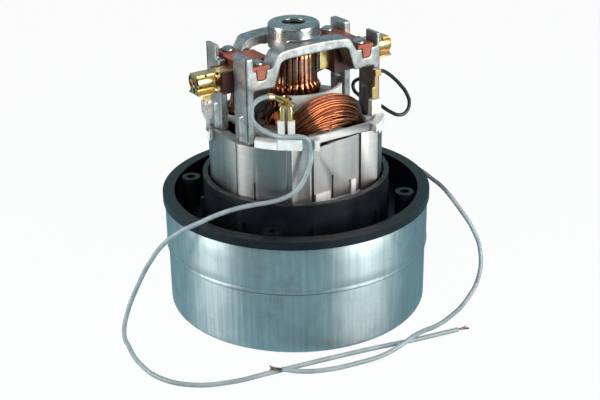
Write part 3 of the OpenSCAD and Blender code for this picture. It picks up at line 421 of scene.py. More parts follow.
def holder_finish(name, colour):
    """Phenolic brush holder: brick red plates, the blocks below them painted darker as shade, dusty edges.
    """
    graph = material(name)
    grain = graph.noise(900, 3, 0.7)
    cloud = graph.noise(120, 4, 0.6)
    _, y, z = graph.axes()
    # Painted shade: below the top plate and within 9 mm of the middle the holder is darkened, so only the
    # top looks lit.
    plate = operate(graph.tree, "MAXIMUM", graph.edge(z, 140.6, 141.4), graph.edge(abs(y), 9.0, 9.8))
    dust = graph.step(grain, 0.60, 0.74)
    tone = ramp(graph, cloud, 0.35, 0.66, colour, 0.8, 1.2)
    tone = graph.blend(1.0 - plate, tone, shade(colour, (0.20, 0.22, 0.38)))
    tone = graph.blend(dust * 0.20, tone, (0.42, 0.24, 0.18))
    surface(graph, tone, 0.30 + cloud * 0.16 + dust * 0.1, grain, 0.0001, 0.4)


def housing_finish(name, colour):
    """Black phenolic moulding: satin, with pale scuffs, and pale bands along the collar's and the rim's top
    edges that are part scuffs and part painted highlight.
    """
    graph = material(name)
    x, y, z = graph.axes()
    radius = (x * x + y * y) ** 0.5
    cloud = graph.noise(60, 4, 0.6)
    scuff = graph.noise(520, 4, 0.75, (1, 1, 2.5))
    # Pale bands along the collar's and the rim's top edges, broken up by scuffs: part wear, part painted
    # highlight.
    collar = graph.edge(z, 73.6, 74.4) * graph.edge(radius, 51, 50.6)
    rim = graph.edge(z, 64.2, 64.6) * graph.edge(radius, 65, 66)
    scuffs_and_painted_edge_highlight = (collar * 0.75 + rim * 0.24) * graph.step(scuff, 0.42, 0.62)
    scuffs_and_painted_edge_highlight = scuffs_and_painted_edge_highlight + graph.step(scuff, 0.66, 0.80) * 0.16
    tone = ramp(graph, cloud, 0.35, 0.68, colour, 0.7, 1.7)
    tone = graph.blend(scuffs_and_painted_edge_highlight, tone, (0.075, 0.08, 0.085))
    surface(graph, tone, 0.30 + cloud * 0.14 + scuffs_and_painted_edge_highlight * 0.22, scuff + cloud * 0.4, 0.00006, 0.4,
            specular_ior_level=0.20)


def brass_finish(name, colour, gloss=0.16):
    """Stamped brass, bright where it is rubbed, brown in the hollows, with the tubes' notches painted black
    as shade.
    """
    graph = material(name)
    x, y, z = graph.axes()
    draw = graph.noise(420, 3, 0.6, (0.15, 1, 1))
    tarnish = graph.step(graph.noise(170, 4, 0.62), 0.48, 0.72)
    tone = graph.blend(tarnish * 0.50, colour, shade(colour, (0.55, 0.42, 0.25)))
    tone = graph.blend(draw * 0.25, tone, shade(colour, 1.3))
    # Painted shade: the notch holes in a tube's top strip are painted near black, as the tube has no holes
    # there.
    top = graph.edge(abs(y), 3.1, 3.3) * graph.edge(abs(y), 4.6, 4.4)
    top = top * graph.edge(z, BRUSH_Z + 4.0, BRUSH_Z + 4.2)
    for middle in NOTCHES:
        painted_notch_shade = top * graph.edge(abs(abs(x) - middle * MM), 0.75, 0.55)
        tone = graph.blend(painted_notch_shade, tone, (0.012, 0.010, 0.006))
    surface(graph, tone, gloss + tarnish * 0.18 + draw * 0.06, draw, 0.00001, 0.3, metallic=1.0)


def wire_finish(name, colour, low, high, gloss=0.17):
    """Wire whose turns each have a shade, kept in an attribute, with painted shade darkening a coil's ends
    and turning the bodies under the wires, whose shade is almost nought, near black.
    """
    graph = material(name)
    turn = graph.add("ShaderNodeAttribute", out="Fac", attribute_name="shade")
    mark = graph.noise(650, 3, 0.6)
    light = turn * 0.8 + mark * 0.4
    tone = ramp(graph, light, low, high, colour, (0.26, 0.15, 0.15), (1.34, 1.80, 2.2))
    x, y, _ = graph.axes()
    # Painted shade: a coil's ends are darkened towards black, as if out of the light.
    ends = graph.edge(abs(x), 7, 21) * graph.edge(abs(y), 21, 24)
    tone = graph.blend(ends * 0.84, tone, shade(colour, 0.10))
    # Painted shade: turns of almost no shade, the bodies under the wires, go near black as the dark between
    # the turns.
    tone = graph.blend(graph.step(turn, 0.08, 0.03), tone, shade(colour, 0.10))
    surface(graph, tone, gloss + mark * 0.10, mark, 0.00002, 0.3,
            metallic=0.92, coat_weight=graph.step(turn, 0.03, 0.2) * 0.60, coat_roughness=0.12)


def turned_finish(name, colour, gloss=0.22, metal=1.0):
    """Turned or ground metal with fine rings."""
    graph = material(name)
    x, y, z = graph.axes()
    where = graph.add("ShaderNodeCombineXYZ", {0: (x * x + y * y) ** 0.5, 2: z})
    ring = graph.noise(2600, 2, 0.6, where)
    mark = graph.noise(240, 3, 0.6)
    tone = ramp(graph, ring * 0.5 + mark * 0.5, 0.38, 0.64, colour, 0.72, 1.2)
    surface(graph, tone, gloss + mark * 0.14, ring, 0.00003, 0.35, metallic=metal)


def bar_finish(name, colour):
    """Commutator copper, browned and polished in a band by the brushes."""
    graph = material(name)
    rub = graph.noise(900, 3, 0.6, (0.2, 0.2, 1))
    each = graph.noise(420, 1, 0.55, (1, 1, 0.01))
    track = graph.edge(abs(graph.axes()[2] - BRUSH_Z * MM), 5.6, 4.4)
    tone = ramp(graph, each * 0.6 + rub * 0.4, 0.38, 0.62, colour, 0.42, 1.45)
    tone = graph.blend(track * 0.35, tone, (0.34, 0.20, 0.15))
    surface(graph, tone, 0.16 + rub * 0.12, rub, 0.00001, 0.3, metallic=0.97)


def sleeve_finish(name, colour, gloss, **constants):
    """Silicone or varnished sleeve with faint dulled spots."""
    graph = material(name)
    dull = graph.step(graph.noise(300, 4, 0.65), 0.48, 0.72)
    tone = ramp(graph, graph.noise(90, 2), 0.38, 0.62, colour, 0.88, 1.1)
    surface(graph, tone, gloss + dull * 0.16, dull, 0.00005, 0.3, **constants)


def carbon_finish(name):
    """Pressed carbon, sooty with bright specks of graphite."""
    graph = material(name)
    speck = fleck(graph, 1600, 0.62, 0.70)
    cloud = graph.noise(300, 3)
    tone = graph.blend(graph.step(cloud, 0.3, 0.7), (0.018, 0.018, 0.020), (0.05, 0.05, 0.055))
    tone = graph.blend(speck * 0.6, tone, (0.22, 0.22, 0.24))
    surface(graph, tone, 0.46 - speck * 0.2, cloud, 0.00008, 0.4)


class MOTORUNIT_OT_finishes(bpy.types.Operator):
    """Make every finish of the unit"""

    bl_idname = "motor_unit.finishes"
    bl_label = "Finishes"

    def execute(self, context):
        colours = settings().finish
        zinc_finish("zinc_steel", colours.zinc)
        cast_finish("cast_aluminium", colours.alloy)
        stack_finish("lamination", (0.30, 0.29, 0.282))
        housing_finish("housing_black", colours.moulding)
        moulded_finish("nylon", colours.nylon, 0.30, (0.40, 0.37, 0.31), 0.10, subsurface_weight=0.05)
        holder_finish("phenolic_red", colours.phenolic)
        moulded_finish("phenolic_dark", (0.10, 0.035, 0.03), 0.26, (0.25, 0.12, 0.10), 0.15)
        moulded_finish("fibre", (0.20, 0.15, 0.07), 0.42, (0.1, 0.08, 0.05), 0.3, 2.0)
        brass_finish("brass", colours.brass)
        brass_finish("brass_dull", (0.52, 0.335, 0.14), 0.26)
        wire_finish("copper", colours.copper, 0.28, 1.12)
        wire_finish("bare_copper", (0.72, 0.30, 0.14), 0.0, 0.9, 0.30)
        bar_finish("commutator_copper", (0.54, 0.20, 0.11))
        turned_finish("steel", (0.42, 0.43, 0.45))
        turned_finish("bright_steel", (0.36, 0.36, 0.36), 0.24)
        turned_finish("spring_steel", (0.48, 0.48, 0.47), 0.20)
        turned_finish("core_steel", (0.12, 0.12, 0.125), 0.30, 0.8)
        turned_finish("fan_aluminium", (0.62, 0.64, 0.66), 0.26)
        carbon_finish("carbon")
        sleeve_finish("lead_grey", colours.lead, 0.36)
        sleeve_finish("jumper_black", (0.010, 0.014, 0.020), 0.24)
        sleeve_finish("jumper_clear", (0.80, 0.81, 0.79), 0.08, transmission_weight=0.72)
        return {"FINISHED"}


# Meshes

def at(x, y, z):
    """A point given in millimetres."""
    return Vector((x, y, z)) * MM


def polar(radius, angle, z):
    """The same by its radius and its angle round the shaft."""
    return at(radius * math.cos(angle), radius * math.sin(angle), z)


def angles(count):
    """Angles that part a full turn evenly."""
    return [2 * math.pi * k / count for k in range(count)]


def across(way):
    """Two directions square to a direction, the first of them level."""
    side = way.cross(Vector((0, 0, 1))).normalized()
    return side, side.cross(way)


def between(a, b, c, d, t):
    """A point of the smooth line from b to c, where a comes before them and d after."""
    bend = (2 * a - 5 * b + 4 * c - d) * t * t
    return 0.5 * (2 * b + (c - a) * t + bend + (3 * b - a - 3 * c + d) * t ** 3)


def arc(centre, radius, start, end, steps):
    """Points of (radius, height) along a round corner, angles in degrees."""
    points = []
    for i in range(steps + 1):
        a = math.radians(start + (end - start) * i / steps)
        points.append((centre[0] + radius * math.cos(a), centre[1] + radius * math.sin(a)))
    return points


def loft(shape, rings, closed=False):
    """Faces between rings of points, each ring as long as the next, with the ends capped."""
    rows = [[shape.verts.new(p) for p in ring] for ring in rings]
    count = len(rows[0])
    pairs = list(zip(rows, rows[1:])) + ([(rows[-1], rows[0])] if closed else [])
    for low, high in pairs:
        for k in range(count):
            n = (k + 1) % count
            shape.faces.new((low[k], low[n], high[n], high[k]))
    if not closed:
        shape.faces.new(rows[0])
        shape.faces.new(rows[-1])


def turned_rings(profile, facets):
    """Rings of an outline of (radius, height) points turned round the shaft."""
    return [[polar(r, angle, z) for r, z in profile] for angle in angles(facets)]


def lathe(profile, facets):
    """A bmesh of a closed outline turned round the shaft."""
    shape = bmesh.new()
    loft(shape, turned_rings(profile, facets), closed=True)
    return shape


def add_object(name, data):
    made = bpy.data.objects.new(name, data)
    bpy.context.scene.collection.objects.link(made)
    return made


def soften(made, angle):
    """Shades a piece smooth, but for edges sharper than an angle."""
    made.data.shade_smooth()
    made.data.set_sharp_from_angle(angle=math.radians(angle))
    return made


def closed_mesh(name, shape):
    """The mesh of a bmesh, its doubles merged and its faces turned out."""
    bmesh.ops.remove_doubles(shape, verts=shape.verts, dist=1e-6)
    bmesh.ops.recalc_face_normals(shape, faces=shape.faces)
    mesh = bpy.data.meshes.new(name)
    shape.to_mesh(mesh)
    shape.free()
    return mesh


def new_object(name, shape, smooth_angle):
    """An object from a bmesh, smooth but for its sharp edges."""
    return soften(add_object(name, closed_mesh(name, shape)), smooth_angle)


def plain_mesh(made, name):
    """The mesh of an object with its modifiers applied."""
    bpy.context.view_layer.update()
    mesh = bpy.data.meshes.new_from_object(made.evaluated_get(bpy.context.evaluated_depsgraph_get()))
    mesh.name = name
    return mesh


def turned_half(made):
    """Turns a piece's mesh half a turn round the shaft."""
    made.data.transform(Matrix.Rotation(math.pi, 4, "Z"))
    return made


def shade_points(mesh, shades):
    """Keeps a shade for each point of a mesh, for wire_finish to read."""
    mesh.attributes.new("shade", "FLOAT", "POINT").data.foreach_set("value", shades)


def coat(made, slot):
    """Gives a piece its finish."""
    made.data.materials.clear()
    made.data.materials.append(MATERIALS[slot])


def dress(made, body, slot, *nodes):
    """Gives a piece its finish, the body it rides on and the nodes it stands for."""
    coat(made, slot)
    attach(made, body)
    if nodes:
        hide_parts(*nodes)
    return made


def merged_copy(node, name):
    """A copy of a node's mesh with its loose triangles merged into whole faces."""
    shape = bmesh.new()
    shape.from_mesh(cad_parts[node].data)
    bmesh.ops.remove_doubles(shape, verts=shape.verts, dist=2e-6)
    bmesh.ops.dissolve_limit(shape, angle_limit=math.radians(0.6), verts=shape.verts, edges=shape.edges)
    return new_object(name, shape, 35)


def rounded_piece(node, name, width, segments, slot):
    """A still piece from a node's mesh, its sharp edges rounded over a width in millimetres."""
    made = merged_copy(node, name)
    bevel = made.modifiers.new("Rounded edges", "BEVEL")
    bevel.width = width * MM
    bevel.segments = segments
    bevel.limit_method = "ANGLE"
    bevel.angle_limit = math.radians(32)
    return dress(made, "motor", slot, node)


# Geometry nodes

def new_tree(name, inputs):
    """A geometry tree's graph and its inputs by name: the geometry, those asked for and the finish."""
    tree = bpy.data.node_groups.new(name, "GeometryNodeTree")
    tree.is_modifier = True
    tree.interface.new_socket("Geometry", in_out="INPUT", socket_type="NodeSocketGeometry")
    tree.interface.new_socket("Geometry", in_out="OUTPUT", socket_type="NodeSocketGeometry")
    for label, kind, value in inputs:
        tree.interface.new_socket(label, in_out="INPUT", socket_type=kind).default_value = value
    tree.interface.new_socket("Finish", in_out="INPUT", socket_type="NodeSocketMaterial")
    entry = tree.nodes.new("NodeGroupInput")
    return Graph(tree), {s.name: Term(tree, s) for s in entry.outputs if s.name}


def end_tree(graph, entry, geometry):
    whole = graph.add("GeometryNodeRealizeInstances", {0: geometry})
    graph.end("NodeGroupOutput", graph.add("GeometryNodeSetMaterial", {
        "Geometry": whole, "Material": entry["Finish"]}))
    return graph.tree


def end_with_pieces(graph, entry, points, angle):
    """Sets the given piece on each point, turned by an angle round Z."""
    turn = graph.add("FunctionNodeEulerToRotation", {0: graph.add("ShaderNodeCombineXYZ", {2: angle})})
    placed = graph.add("GeometryNodeInstanceOnPoints", {
        "Points": points, "Instance": entry["Geometry"], "Rotation": turn})
    return end_tree(graph, entry, placed)


def wire_tree():
    """Sweeps a round wire along each path of the mesh that it is given."""
    graph, entry = new_tree("Wire along paths", (
        ("Wire radius", "NodeSocketFloat", 0.0004), ("Sides", "NodeSocketInt", 6),
        ("Wander", "NodeSocketFloat", 0.0), ("Seed", "NodeSocketFloat", 3.0)))
    stray = graph.add("ShaderNodeTexNoise", {
        "Vector": graph.add("GeometryNodeInputPosition"), "W": entry["Seed"], "Scale": 130.0, "Detail": 1.0,
    }, "Color", noise_dimensions="4D")
    centred = graph.add("ShaderNodeVectorMath", {0: stray, 1: (0.5, 0.5, 0.5)}, operation="SUBTRACT")
    offset = graph.add("ShaderNodeVectorMath", {0: centred, "Scale": entry["Wander"]}, operation="SCALE")
    moved = graph.add("GeometryNodeSetPosition", {"Geometry": entry["Geometry"], "Offset": offset})
    curve = graph.add("GeometryNodeMeshToCurve", {"Mesh": moved})
    profile = graph.add("GeometryNodeCurvePrimitiveCircle", {
        "Resolution": entry["Sides"], "Radius": entry["Wire radius"]})
    swept = graph.add("GeometryNodeCurveToMesh", {
        "Curve": curve, "Profile Curve": profile, "Fill Caps": True})
    return end_tree(graph, entry, swept)


def ring_tree():
    """Repeats the piece that it is given round the shaft."""
    graph, entry = new_tree("Pieces round the shaft", (("Count", "NodeSocketInt", BARS),))
    spots = graph.add("GeometryNodePoints", {"Count": entry["Count"]})
    index = graph.add("GeometryNodeInputIndex")
    return end_with_pieces(graph, entry, spots, index / entry["Count"] * (2 * math.pi))


def corners_tree():
    """Repeats the piece that it is given at the four corners of a rectangle, each turned further."""
    graph, entry = new_tree("Pieces at four corners", (
        ("Length", "NodeSocketFloat", 0.062), ("Width", "NodeSocketFloat", 0.0286)))
    grid = graph.add("GeometryNodeMeshGrid", {
        "Size X": entry["Length"], "Size Y": entry["Width"], "Vertices X": 2, "Vertices Y": 2})
    return end_with_pieces(graph, entry, grid, graph.add("GeometryNodeInputIndex") * 0.9)


TREE_MAKERS = {"wire": wire_tree, "ring": ring_tree, "corners": corners_tree}
TREES = {}


def through_tree(name, source, tree, finish, smooth_angle, **values):
    """Runs a mesh through a geometry tree and returns the result as a plain piece."""
    if tree not in TREES:
        TREES[tree] = TREE_MAKERS[tree]()
    values["Finish"] = MATERIALS[finish]
    carrier = add_object(name + "_source", source)
    modifier = carrier.modifiers.new("Tree", "NODES")
    modifier.node_group = TREES[tree]
    for item in TREES[tree].interface.items_tree:
        key = item.name.replace(" ", "_")
        if item.in_out == "INPUT" and key in values:
            modifier[item.identifier] = values[key]
    mesh = plain_mesh(carrier, name)
    bpy.data.objects.remove(carrier)
    return soften(add_object(name, mesh), smooth_angle)


def paths_mesh(name, paths, closed):
    """A mesh of bare edges along each path, with a shade for each."""
    mesh = bpy.data.meshes.new(name)
    verts, edges, shades = [], [], []
    for points, path_shade in paths:
        first = len(verts)
        verts += [tuple(p) for p in points]
        shades += [path_shade] * len(points)
        edges += [(first + i, first + i + 1) for i in range(len(points) - 1)]
        if closed:
            edges.append((first + len(points) - 1, first))
    mesh.from_pydata(verts, edges, [])
    shade_points(mesh, shades)
    return mesh


def wires(name, paths, radius, sides, finish, closed=False, wander=0.0, seed=3.0):
    """Round wires along paths of (points, shade)."""
    return through_tree(name, paths_mesh(name + "_paths", paths, closed), "wire", finish, 80,
                        Wire_radius=radius * MM, Sides=sides, Wander=wander * MM, Seed=seed)


# Leads and jumpers

def lead_curve(name, route, diameter, slot, node):
    """A round lead as one smooth curve."""
    data = bpy.data.curves.new(name, "CURVE")
    data.dimensions = "3D"
    data.bevel_depth = diameter / 2 * MM
    data.bevel_resolution = 5
    data.resolution_u = 8
    data.use_fill_caps = True
    spline = data.splines.new("BEZIER")
    spline.bezier_points.add(len(route) - 1)
    for knot, point in zip(spline.bezier_points, route):
        knot.co = at(*point)
        knot.handle_left_type = knot.handle_right_type = "AUTO"
    return dress(add_object(name, data), "motor", slot, node)


def route_length(route, steps=8):
    """The length in metres of the smooth line through a route."""
    line = [Vector(p) for p in route]
    ends = [2 * line[0] - line[1], *line, 2 * line[-1] - line[-2]]
    fine = [between(*ends[i:i + 4], k / steps) * MM for i in range(len(line) - 1) for k in range(steps)]
    fine.append(line[-1] * MM)
    return sum((b - a).length for a, b in zip(fine, fine[1:]))


def bare_end(name, route, count, node):
    """The twisted strands of a bare end, splayed at the tip: one, six round it and a ring of the rest."""
    tip, before = Vector(route[-1]), Vector(route[-2])
    along = (tip - before).normalized()
    side, up = across(along)
    chance = random.Random(len(route))
    paths = []
    for i in range(count):
        ring, share = (0, 1) if i == 0 else (1, 6) if i < 7 else (2, count - 7)
        start = 2 * math.pi * i / share
        reach = 6.0 + chance.uniform(-1.3, 0.9)
        splay = chance.uniform(0.15, 1.15) if ring else 0.2
        points = []
        for k in range(9):
            t = k / 8
            a = start + 1.9 * t
            width = 0.27 * ring + splay * max(0.0, t - 0.45) ** 1.6 * 2.2
            out = (side * math.cos(a) + up * math.sin(a) * 0.8) * width
            points.append((tip + along * (reach * t - 0.5) + out) * MM)
        paths.append((points, chance.uniform(0.2, 1.0)))
    return dress(wires(name, paths, 0.13, 5, "bare_copper"), "motor", "bare_copper", node)


class MOTORUNIT_OT_leads(bpy.types.Operator):
    """Make the two grey leads with their bare ends"""

    bl_idname = "motor_unit.leads"
    bl_label = "Leads"

    def execute(self, context):
        sizes = settings().leads
        for side, route in (("front", FRONT_ROUTE), ("rear", REAR_ROUTE)):
            lead = lead_curve(f"{side}_grey_lead", route, sizes.lead, "lead_grey", f"{side}_lead")
            strands = bare_end(f"{side}_bare_end", route, sizes.strands, f"{side}_lead_strands")
            round(route_length(route), 3)
        return {"FINISHED"}


class MOTORUNIT_OT_jumpers(bpy.types.Operator):
    """Make the black jumper, and the clear-sleeved jumper with its plug"""

    bl_idname = "motor_unit.jumpers"
    bl_label = "Jumpers"

    def execute(self, context):
        size = settings().leads.jumper
        lead_curve("black_jumper_wire", BLACK_ROUTE, size, "jumper_black", "black_jumper")
        lead_curve("clear_jumper_wire", LEFT_ROUTE, size, "jumper_clear", "left_jumper")
        rounded_piece("jumper_plug", "jumper_plug_shell", 0.5, 3, "nylon")
        return {"FINISHED"}


# Fan case

DENT_AT, DENT_R = (-38.5, -58.8, 9.0), 4.5


class MOTORUNIT_OT_fan_case(bpy.types.Operator):
    """Turn the two sheet-steel cans, with their hem, rolled corner and one small dent"""

    bl_idname = "motor_unit.fan_case"
    bl_label = "Fan case"

    def execute(self, context):
        sizes = settings().fan_case
        low_r = CAN_R - SHEET - 0.1
        lower = [(19.0, 3.7), (19.0, 1.4), *arc((20.6, 1.6), 1.6, 190, 270, 5), (34, 0), (52, 0)]
        lower += [*arc((low_r - 3, 3), 3, -90, 0, 9), (low_r, 12), (low_r, 24), (low_r, 33)]
        lower += [(low_r, 37.6), (low_r - 0.3, 37.9), (low_r - SHEET, 37.6), (low_r - SHEET, 20)]
        lower += [*arc((low_r - 3, 3), 2.4, 0, -90, 7), (52, 0.6), (34, 0.6)]
        lower += [*arc((20.6, 1.6), 1.0, 270, 190, 4), (19.6, 3.7), (19.3, 4.0)]
        shape = lathe(lower, sizes.facets)
        for vert in shape.verts:
            away = (vert.co - at(*DENT_AT)).length / MM
            if away < DENT_R:
                inward = Vector((-vert.co.x, -vert.co.y, 0)).normalized()
                vert.co += inward * sizes.dent * MM * (1 - (away / DENT_R) ** 2)
        dress(new_object("lower_can_shell", shape, 30), "motor", "zinc_steel", "inlet_can")

        hem = CAN_R + sizes.hem_rise
        groove = CAN_R - 0.22
        upper = [(CAN_R - 0.35, RIM_UNDER), (CAN_R - 0.1, RIM_UNDER - 0.12), (CAN_R, RIM_UNDER - 0.4)]
        upper += [(CAN_R, 50), (CAN_R, 42), (CAN_R, SEAM_Z + 2.5)]
        upper += [(groove, SEAM_Z + 2.1), (groove, SEAM_Z + 1.8)]
        upper += [(hem - 0.08, SEAM_Z + 1.5), (hem, SEAM_Z + 1.1), (hem, SEAM_Z + 0.5)]
        upper += [(hem - 0.06, SEAM_Z + 0.15), (CAN_R, SEAM_Z), (CAN_R - SHEET, SEAM_Z)]
        upper += [(CAN_R - SHEET, RIM_UNDER - SHEET), (68.3, RIM_UNDER - SHEET), (68.3, RIM_UNDER)]
        shape = lathe(upper, sizes.facets)
        dress(new_object("upper_can_shell", shape, 30), "motor", "zinc_steel", "upper_can")
        return {"FINISHED"}


class MOTORUNIT_OT_housing(bpy.types.Operator):
    """Round the edges of the black moulded housing"""

    bl_idname = "motor_unit.housing"
    bl_label = "Motor housing"

    def execute(self, context):
        rounded_piece("motor_housing", "housing_moulding", 0.45, 3, "housing_black")
        return {"FINISHED"}


# Stator

COIL_HIGH, COIL_WIDE = 28.3, 20.0
COIL_Y, COIL_Z = -24.5, 86.3
CORE_ROUND, CORE_ACROSS = 56, 28
LOOP_POINTS, STRAY_STEPS = 72, 24


def spread(value):
    """A cosine or sine pushed outward, so that a circle comes nearer to a square."""
    return math.copysign(abs(value) ** 0.5, value)


def coil_point(t, q, inset):
    """A point on a field coil's skin: t goes round the pole, q round the bundle, in degrees."""
    cosine, sine = math.cos(math.radians(t)), math.sin(math.radians(t))
    c, s = spread(cosine), spread(sine)
    w = max(0.0, (abs(s) - 0.6) / 0.4)
    rise = w * w * (3 - 2 * w)
    round_c = math.copysign(abs(cosine) ** (0.5 + 0.4 * rise), cosine)
    centre = Vector((COIL_WIDE * round_c - 1.2 * rise, COIL_Y - 6.8 * rise, COIL_Z + COIL_HIGH * s))
    out = Vector((COIL_HIGH * c * 0.9, 0, COIL_WIDE * s * 1.1)).normalized()
    a, b = 6.2 + 3.6 * rise * sine * sine - inset, 5.9 - 0.4 * rise - inset
    q = math.radians(q)
    return centre + out * (a * math.cos(q)) + Vector((0, -1, 0)) * (b * math.sin(q))


def coil_loops(count, wander, wire, seed):
    """Closed loops of wire over a coil's skin, and loose turns that cross them."""
    chance = random.Random(seed)
    loops, strays = [], []
    for i in range(count):
        q0 = -84 + 268 * i / (count - 1)
        loop_shade = chance.uniform(0.15, 1.0)
        phase, depth = chance.uniform(0, 50), chance.uniform(0, 0.25)
        points = []
        for k in range(LOOP_POINTS):
            t = 360 * k / LOOP_POINTS
            circle = Vector((math.cos(math.radians(t)), math.sin(math.radians(t)), 0)) * 1.3
            stray = noise.noise(circle + Vector((0, 0, phase)))
            lift = noise.noise(circle * 1.7 + Vector((0, 0, phase + 80)))
            inset = wire / 2 + depth + 0.22 * abs(lift)
            points.append(coil_point(t, q0 + wander * stray * 2.2, inset) * MM)
        loops.append((points, loop_shade))
    for i in range(count // 2):
        start, reach = chance.uniform(0, 360), chance.uniform(70, 170)
        q0, q1 = chance.uniform(-60, 165), chance.uniform(-13, 13)
        loop_shade = chance.uniform(0.5, 1.0)
        points = []
        for k in range(STRAY_STEPS + 1):
            u = k / STRAY_STEPS
            sink = 0.9 * (abs(2 * u - 1) ** 6)
            points.append(coil_point(start + reach * u, q0 + q1 * (2 * u - 1), sink - 0.05) * MM)
        strays.append((points, loop_shade))
    return loops, strays


class MOTORUNIT_OT_field_coils(bpy.types.Operator):
    """Wind both field coils over their cores"""

    bl_idname = "motor_unit.field_coils"
    bl_label = "Field coils"

    def execute(self, context):
        sizes = settings().winding
        for side, seed in (("front", 5), ("rear", 9)):
            rings = []
            for i in range(CORE_ROUND):
                t = 360 * i / CORE_ROUND
                rings.append([coil_point(t, 360 * k / CORE_ACROSS, sizes.wire + 0.1) * MM
                              for k in range(CORE_ACROSS)])
            shape = bmesh.new()
            loft(shape, rings, closed=True)
            core = new_object(f"{side}_coil_body", shape, 60)
            # The body under the wires gets almost no shade, so wire_finish paints it near black as painted
            # shade between the turns.
            shade_points(core.data, [0.05] * len(core.data.vertices))
            loops, strays = coil_loops(sizes.loops, sizes.wander, sizes.wire, seed)
            winding = wires(f"{side}_coil_wires", loops, sizes.wire / 2, 6, "copper", closed=True)
            loose = wires(f"{side}_coil_strays", strays, sizes.wire / 2, 6, "copper")
            if side == "rear":
                for made in (core, winding, loose):
                    turned_half(made)
            dress(core, "motor", "copper", f"{side}_coil_core")
            dress(winding, "motor", "copper", f"{side}_winding")
            dress(loose, "motor", "copper")
        return {"FINISHED"}


class MOTORUNIT_OT_stator(bpy.types.Operator):
    """Finish the stack and round the edges of its moulded insulators"""

    bl_idname = "motor_unit.stator"
    bl_label = "Stator"

    def execute(self, context):
        rounded_piece("stator_stack", "stack_of_sheets", 0.18, 2, "lamination")
        for name in ("upper_insulator", "lower_insulator"):
            rounded_piece(name, name + "_moulding", 0.35, 2, "nylon")
        return {"FINISHED"}


# Armature

# Degrees, radius and height along the wire that hooks over a commutator bar
HOOK_WIRE = (
    (-9, 13.6, 112.0), (-8, 13.0, 114.4), (-5, 12.5, 117.0), (-3.4, 12.8, 119.0), (-2.6, 13.3, 120.8),
    (0, 13.55, 121.7), (2.6, 13.3, 120.8), (3.4, 12.8, 119.0), (5, 12.5, 117.0), (8, 13.0, 114.4),
    (9, 13.6, 112.0),
)
WIRE_STEPS = 18
# Radius and height over the stack of the body under an end's wires
CROWN = ((6.2, 0), (16.2, 0), (16.6, 3), (15.8, 6.5), (13.6, 9.5), (10.6, 11.4), (6.2, 11.9))


class MOTORUNIT_OT_armature(bpy.types.Operator):
    """Wind the armature's ends and lay its wires up to the commutator"""

    bl_idname = "motor_unit.armature"
    bl_label = "Armature"

    def execute(self, context):
        sizes = settings().winding
        chance = random.Random(12)
        paths = []
        for end, face in ((1, STACK_Z1 + 0.8), (-1, STACK_Z0 - 0.8)):
            for slot in range(SLOTS):
                for layer in range(sizes.armature_wires):
                    first = 30 * slot + chance.uniform(-2, 2)
                    span = 150 + chance.uniform(-4, 4)
                    crown = min(12.6, 5.5 + 0.62 * slot + 0.72 * (layer % 3))
                    outside = 16.9 - 0.55 * (layer // 3)
                    points = []
                    for k in range(WIRE_STEPS + 1):
                        t = k / WIRE_STEPS
                        lift = math.sin(math.pi * t)
                        reach = outside - (outside - 8.2) * lift ** 1.4 + 1.5 * lift * (1 - lift)
                        climb = crown * min(1.0, lift * 1.9) ** 0.6 - 1.5
                        points.append(polar(reach, math.radians(first + span * t), face + end * climb))
                    paths.append((points, chance.uniform(0.2, 0.9)))
        for bar in range(BARS):
            points = []
            for turn, r, z in HOOK_WIRE:
                angle = math.radians(360 / BARS * bar) + math.radians(turn)
                points.append(polar(r, angle, z + chance.uniform(-0.2, 0.2)))
            # Painted shade: the wires up to the hooks get low shades, so they look dark under the
            # commutator.
            paths.append((points, chance.uniform(0.05, 0.35)))
        wound = wires("armature_wires", paths, 0.42, 5, "copper", wander=0.25, seed=6.0)
        dress(wound, "rotor", "copper", "armature_windings")

        shape = bmesh.new()
        for end, face in ((1, STACK_Z1 + 0.82), (-1, STACK_Z0 - 0.82)):
            loft(shape, turned_rings([(r, face + end * z) for r, z in CROWN], 64), closed=True)
        for a in angles(SLOTS):
            loft(shape, [[polar(15.4, a, z) + polar(2.6, b, 0) for b in angles(12)]
                         for z in (STACK_Z0 - 0.85, STACK_Z1 + 0.85)])
        core = new_object("armature_wound_body", shape, 50)
        # The wound body gets almost no shade, so wire_finish paints it near black as painted shade between
        # the wires.
        shade_points(core.data, [0.02] * len(core.data.vertices))
        dress(core, "rotor", "copper")
        return {"FINISHED"}


# Height, growth past the commutator's radius and share of the full width, along a bar and its hook
BAR_STATIONS = (
    (119.5, 0.1, 0.62), (119.8, 0.7, 0.72), (120.6, 1.05, 0.80), (121.8, 1.2, 0.84),
    (123.0, 1.05, 0.88), (124.0, 0.5, 0.94), (124.7, 0.05, 1.0), (125.1, 0.0, 1.0),
    (132.8, -0.1, 1.0), (138.0, 0.0, 1.0), (139.8, 0.0, 1.0), (140.2, -0.3, 1.0),
)
BAR_INSIDE = 8.1
BAR_GAP = 0.35


class MOTORUNIT_OT_commutator(bpy.types.Operator):
    """Set the commutator's bars and their hooks round the shaft"""

    bl_idname = "motor_unit.commutator"
    bl_label = "Commutator"

    def execute(self, context):
        half = math.radians(360 / BARS / 2) - BAR_GAP / COMMUTATOR_R
        rings = []
        for z, grow, wide in BAR_STATIONS:
            ring = [polar(BAR_INSIDE, a, z) for a in (-half, half)]
            for k in range(7):
                a = (half - 2 * half * k / 6) * wide
                r = COMMUTATOR_R + grow - (0.12 + 0.4 * max(0.0, grow)) * abs(a / half / wide) ** 4
                ring.append(polar(r, a, z))
            rings.append(ring)
        shape = bmesh.new()
        loft(shape, rings)
        bars = through_tree("commutator_bar_set", closed_mesh("bar", shape), "ring", "commutator_copper", 40,
                            Count=BARS)
        dress(bars, "rotor", "commutator_copper", "commutator_bars")
        return {"FINISHED"}


# Bracket and brush gear

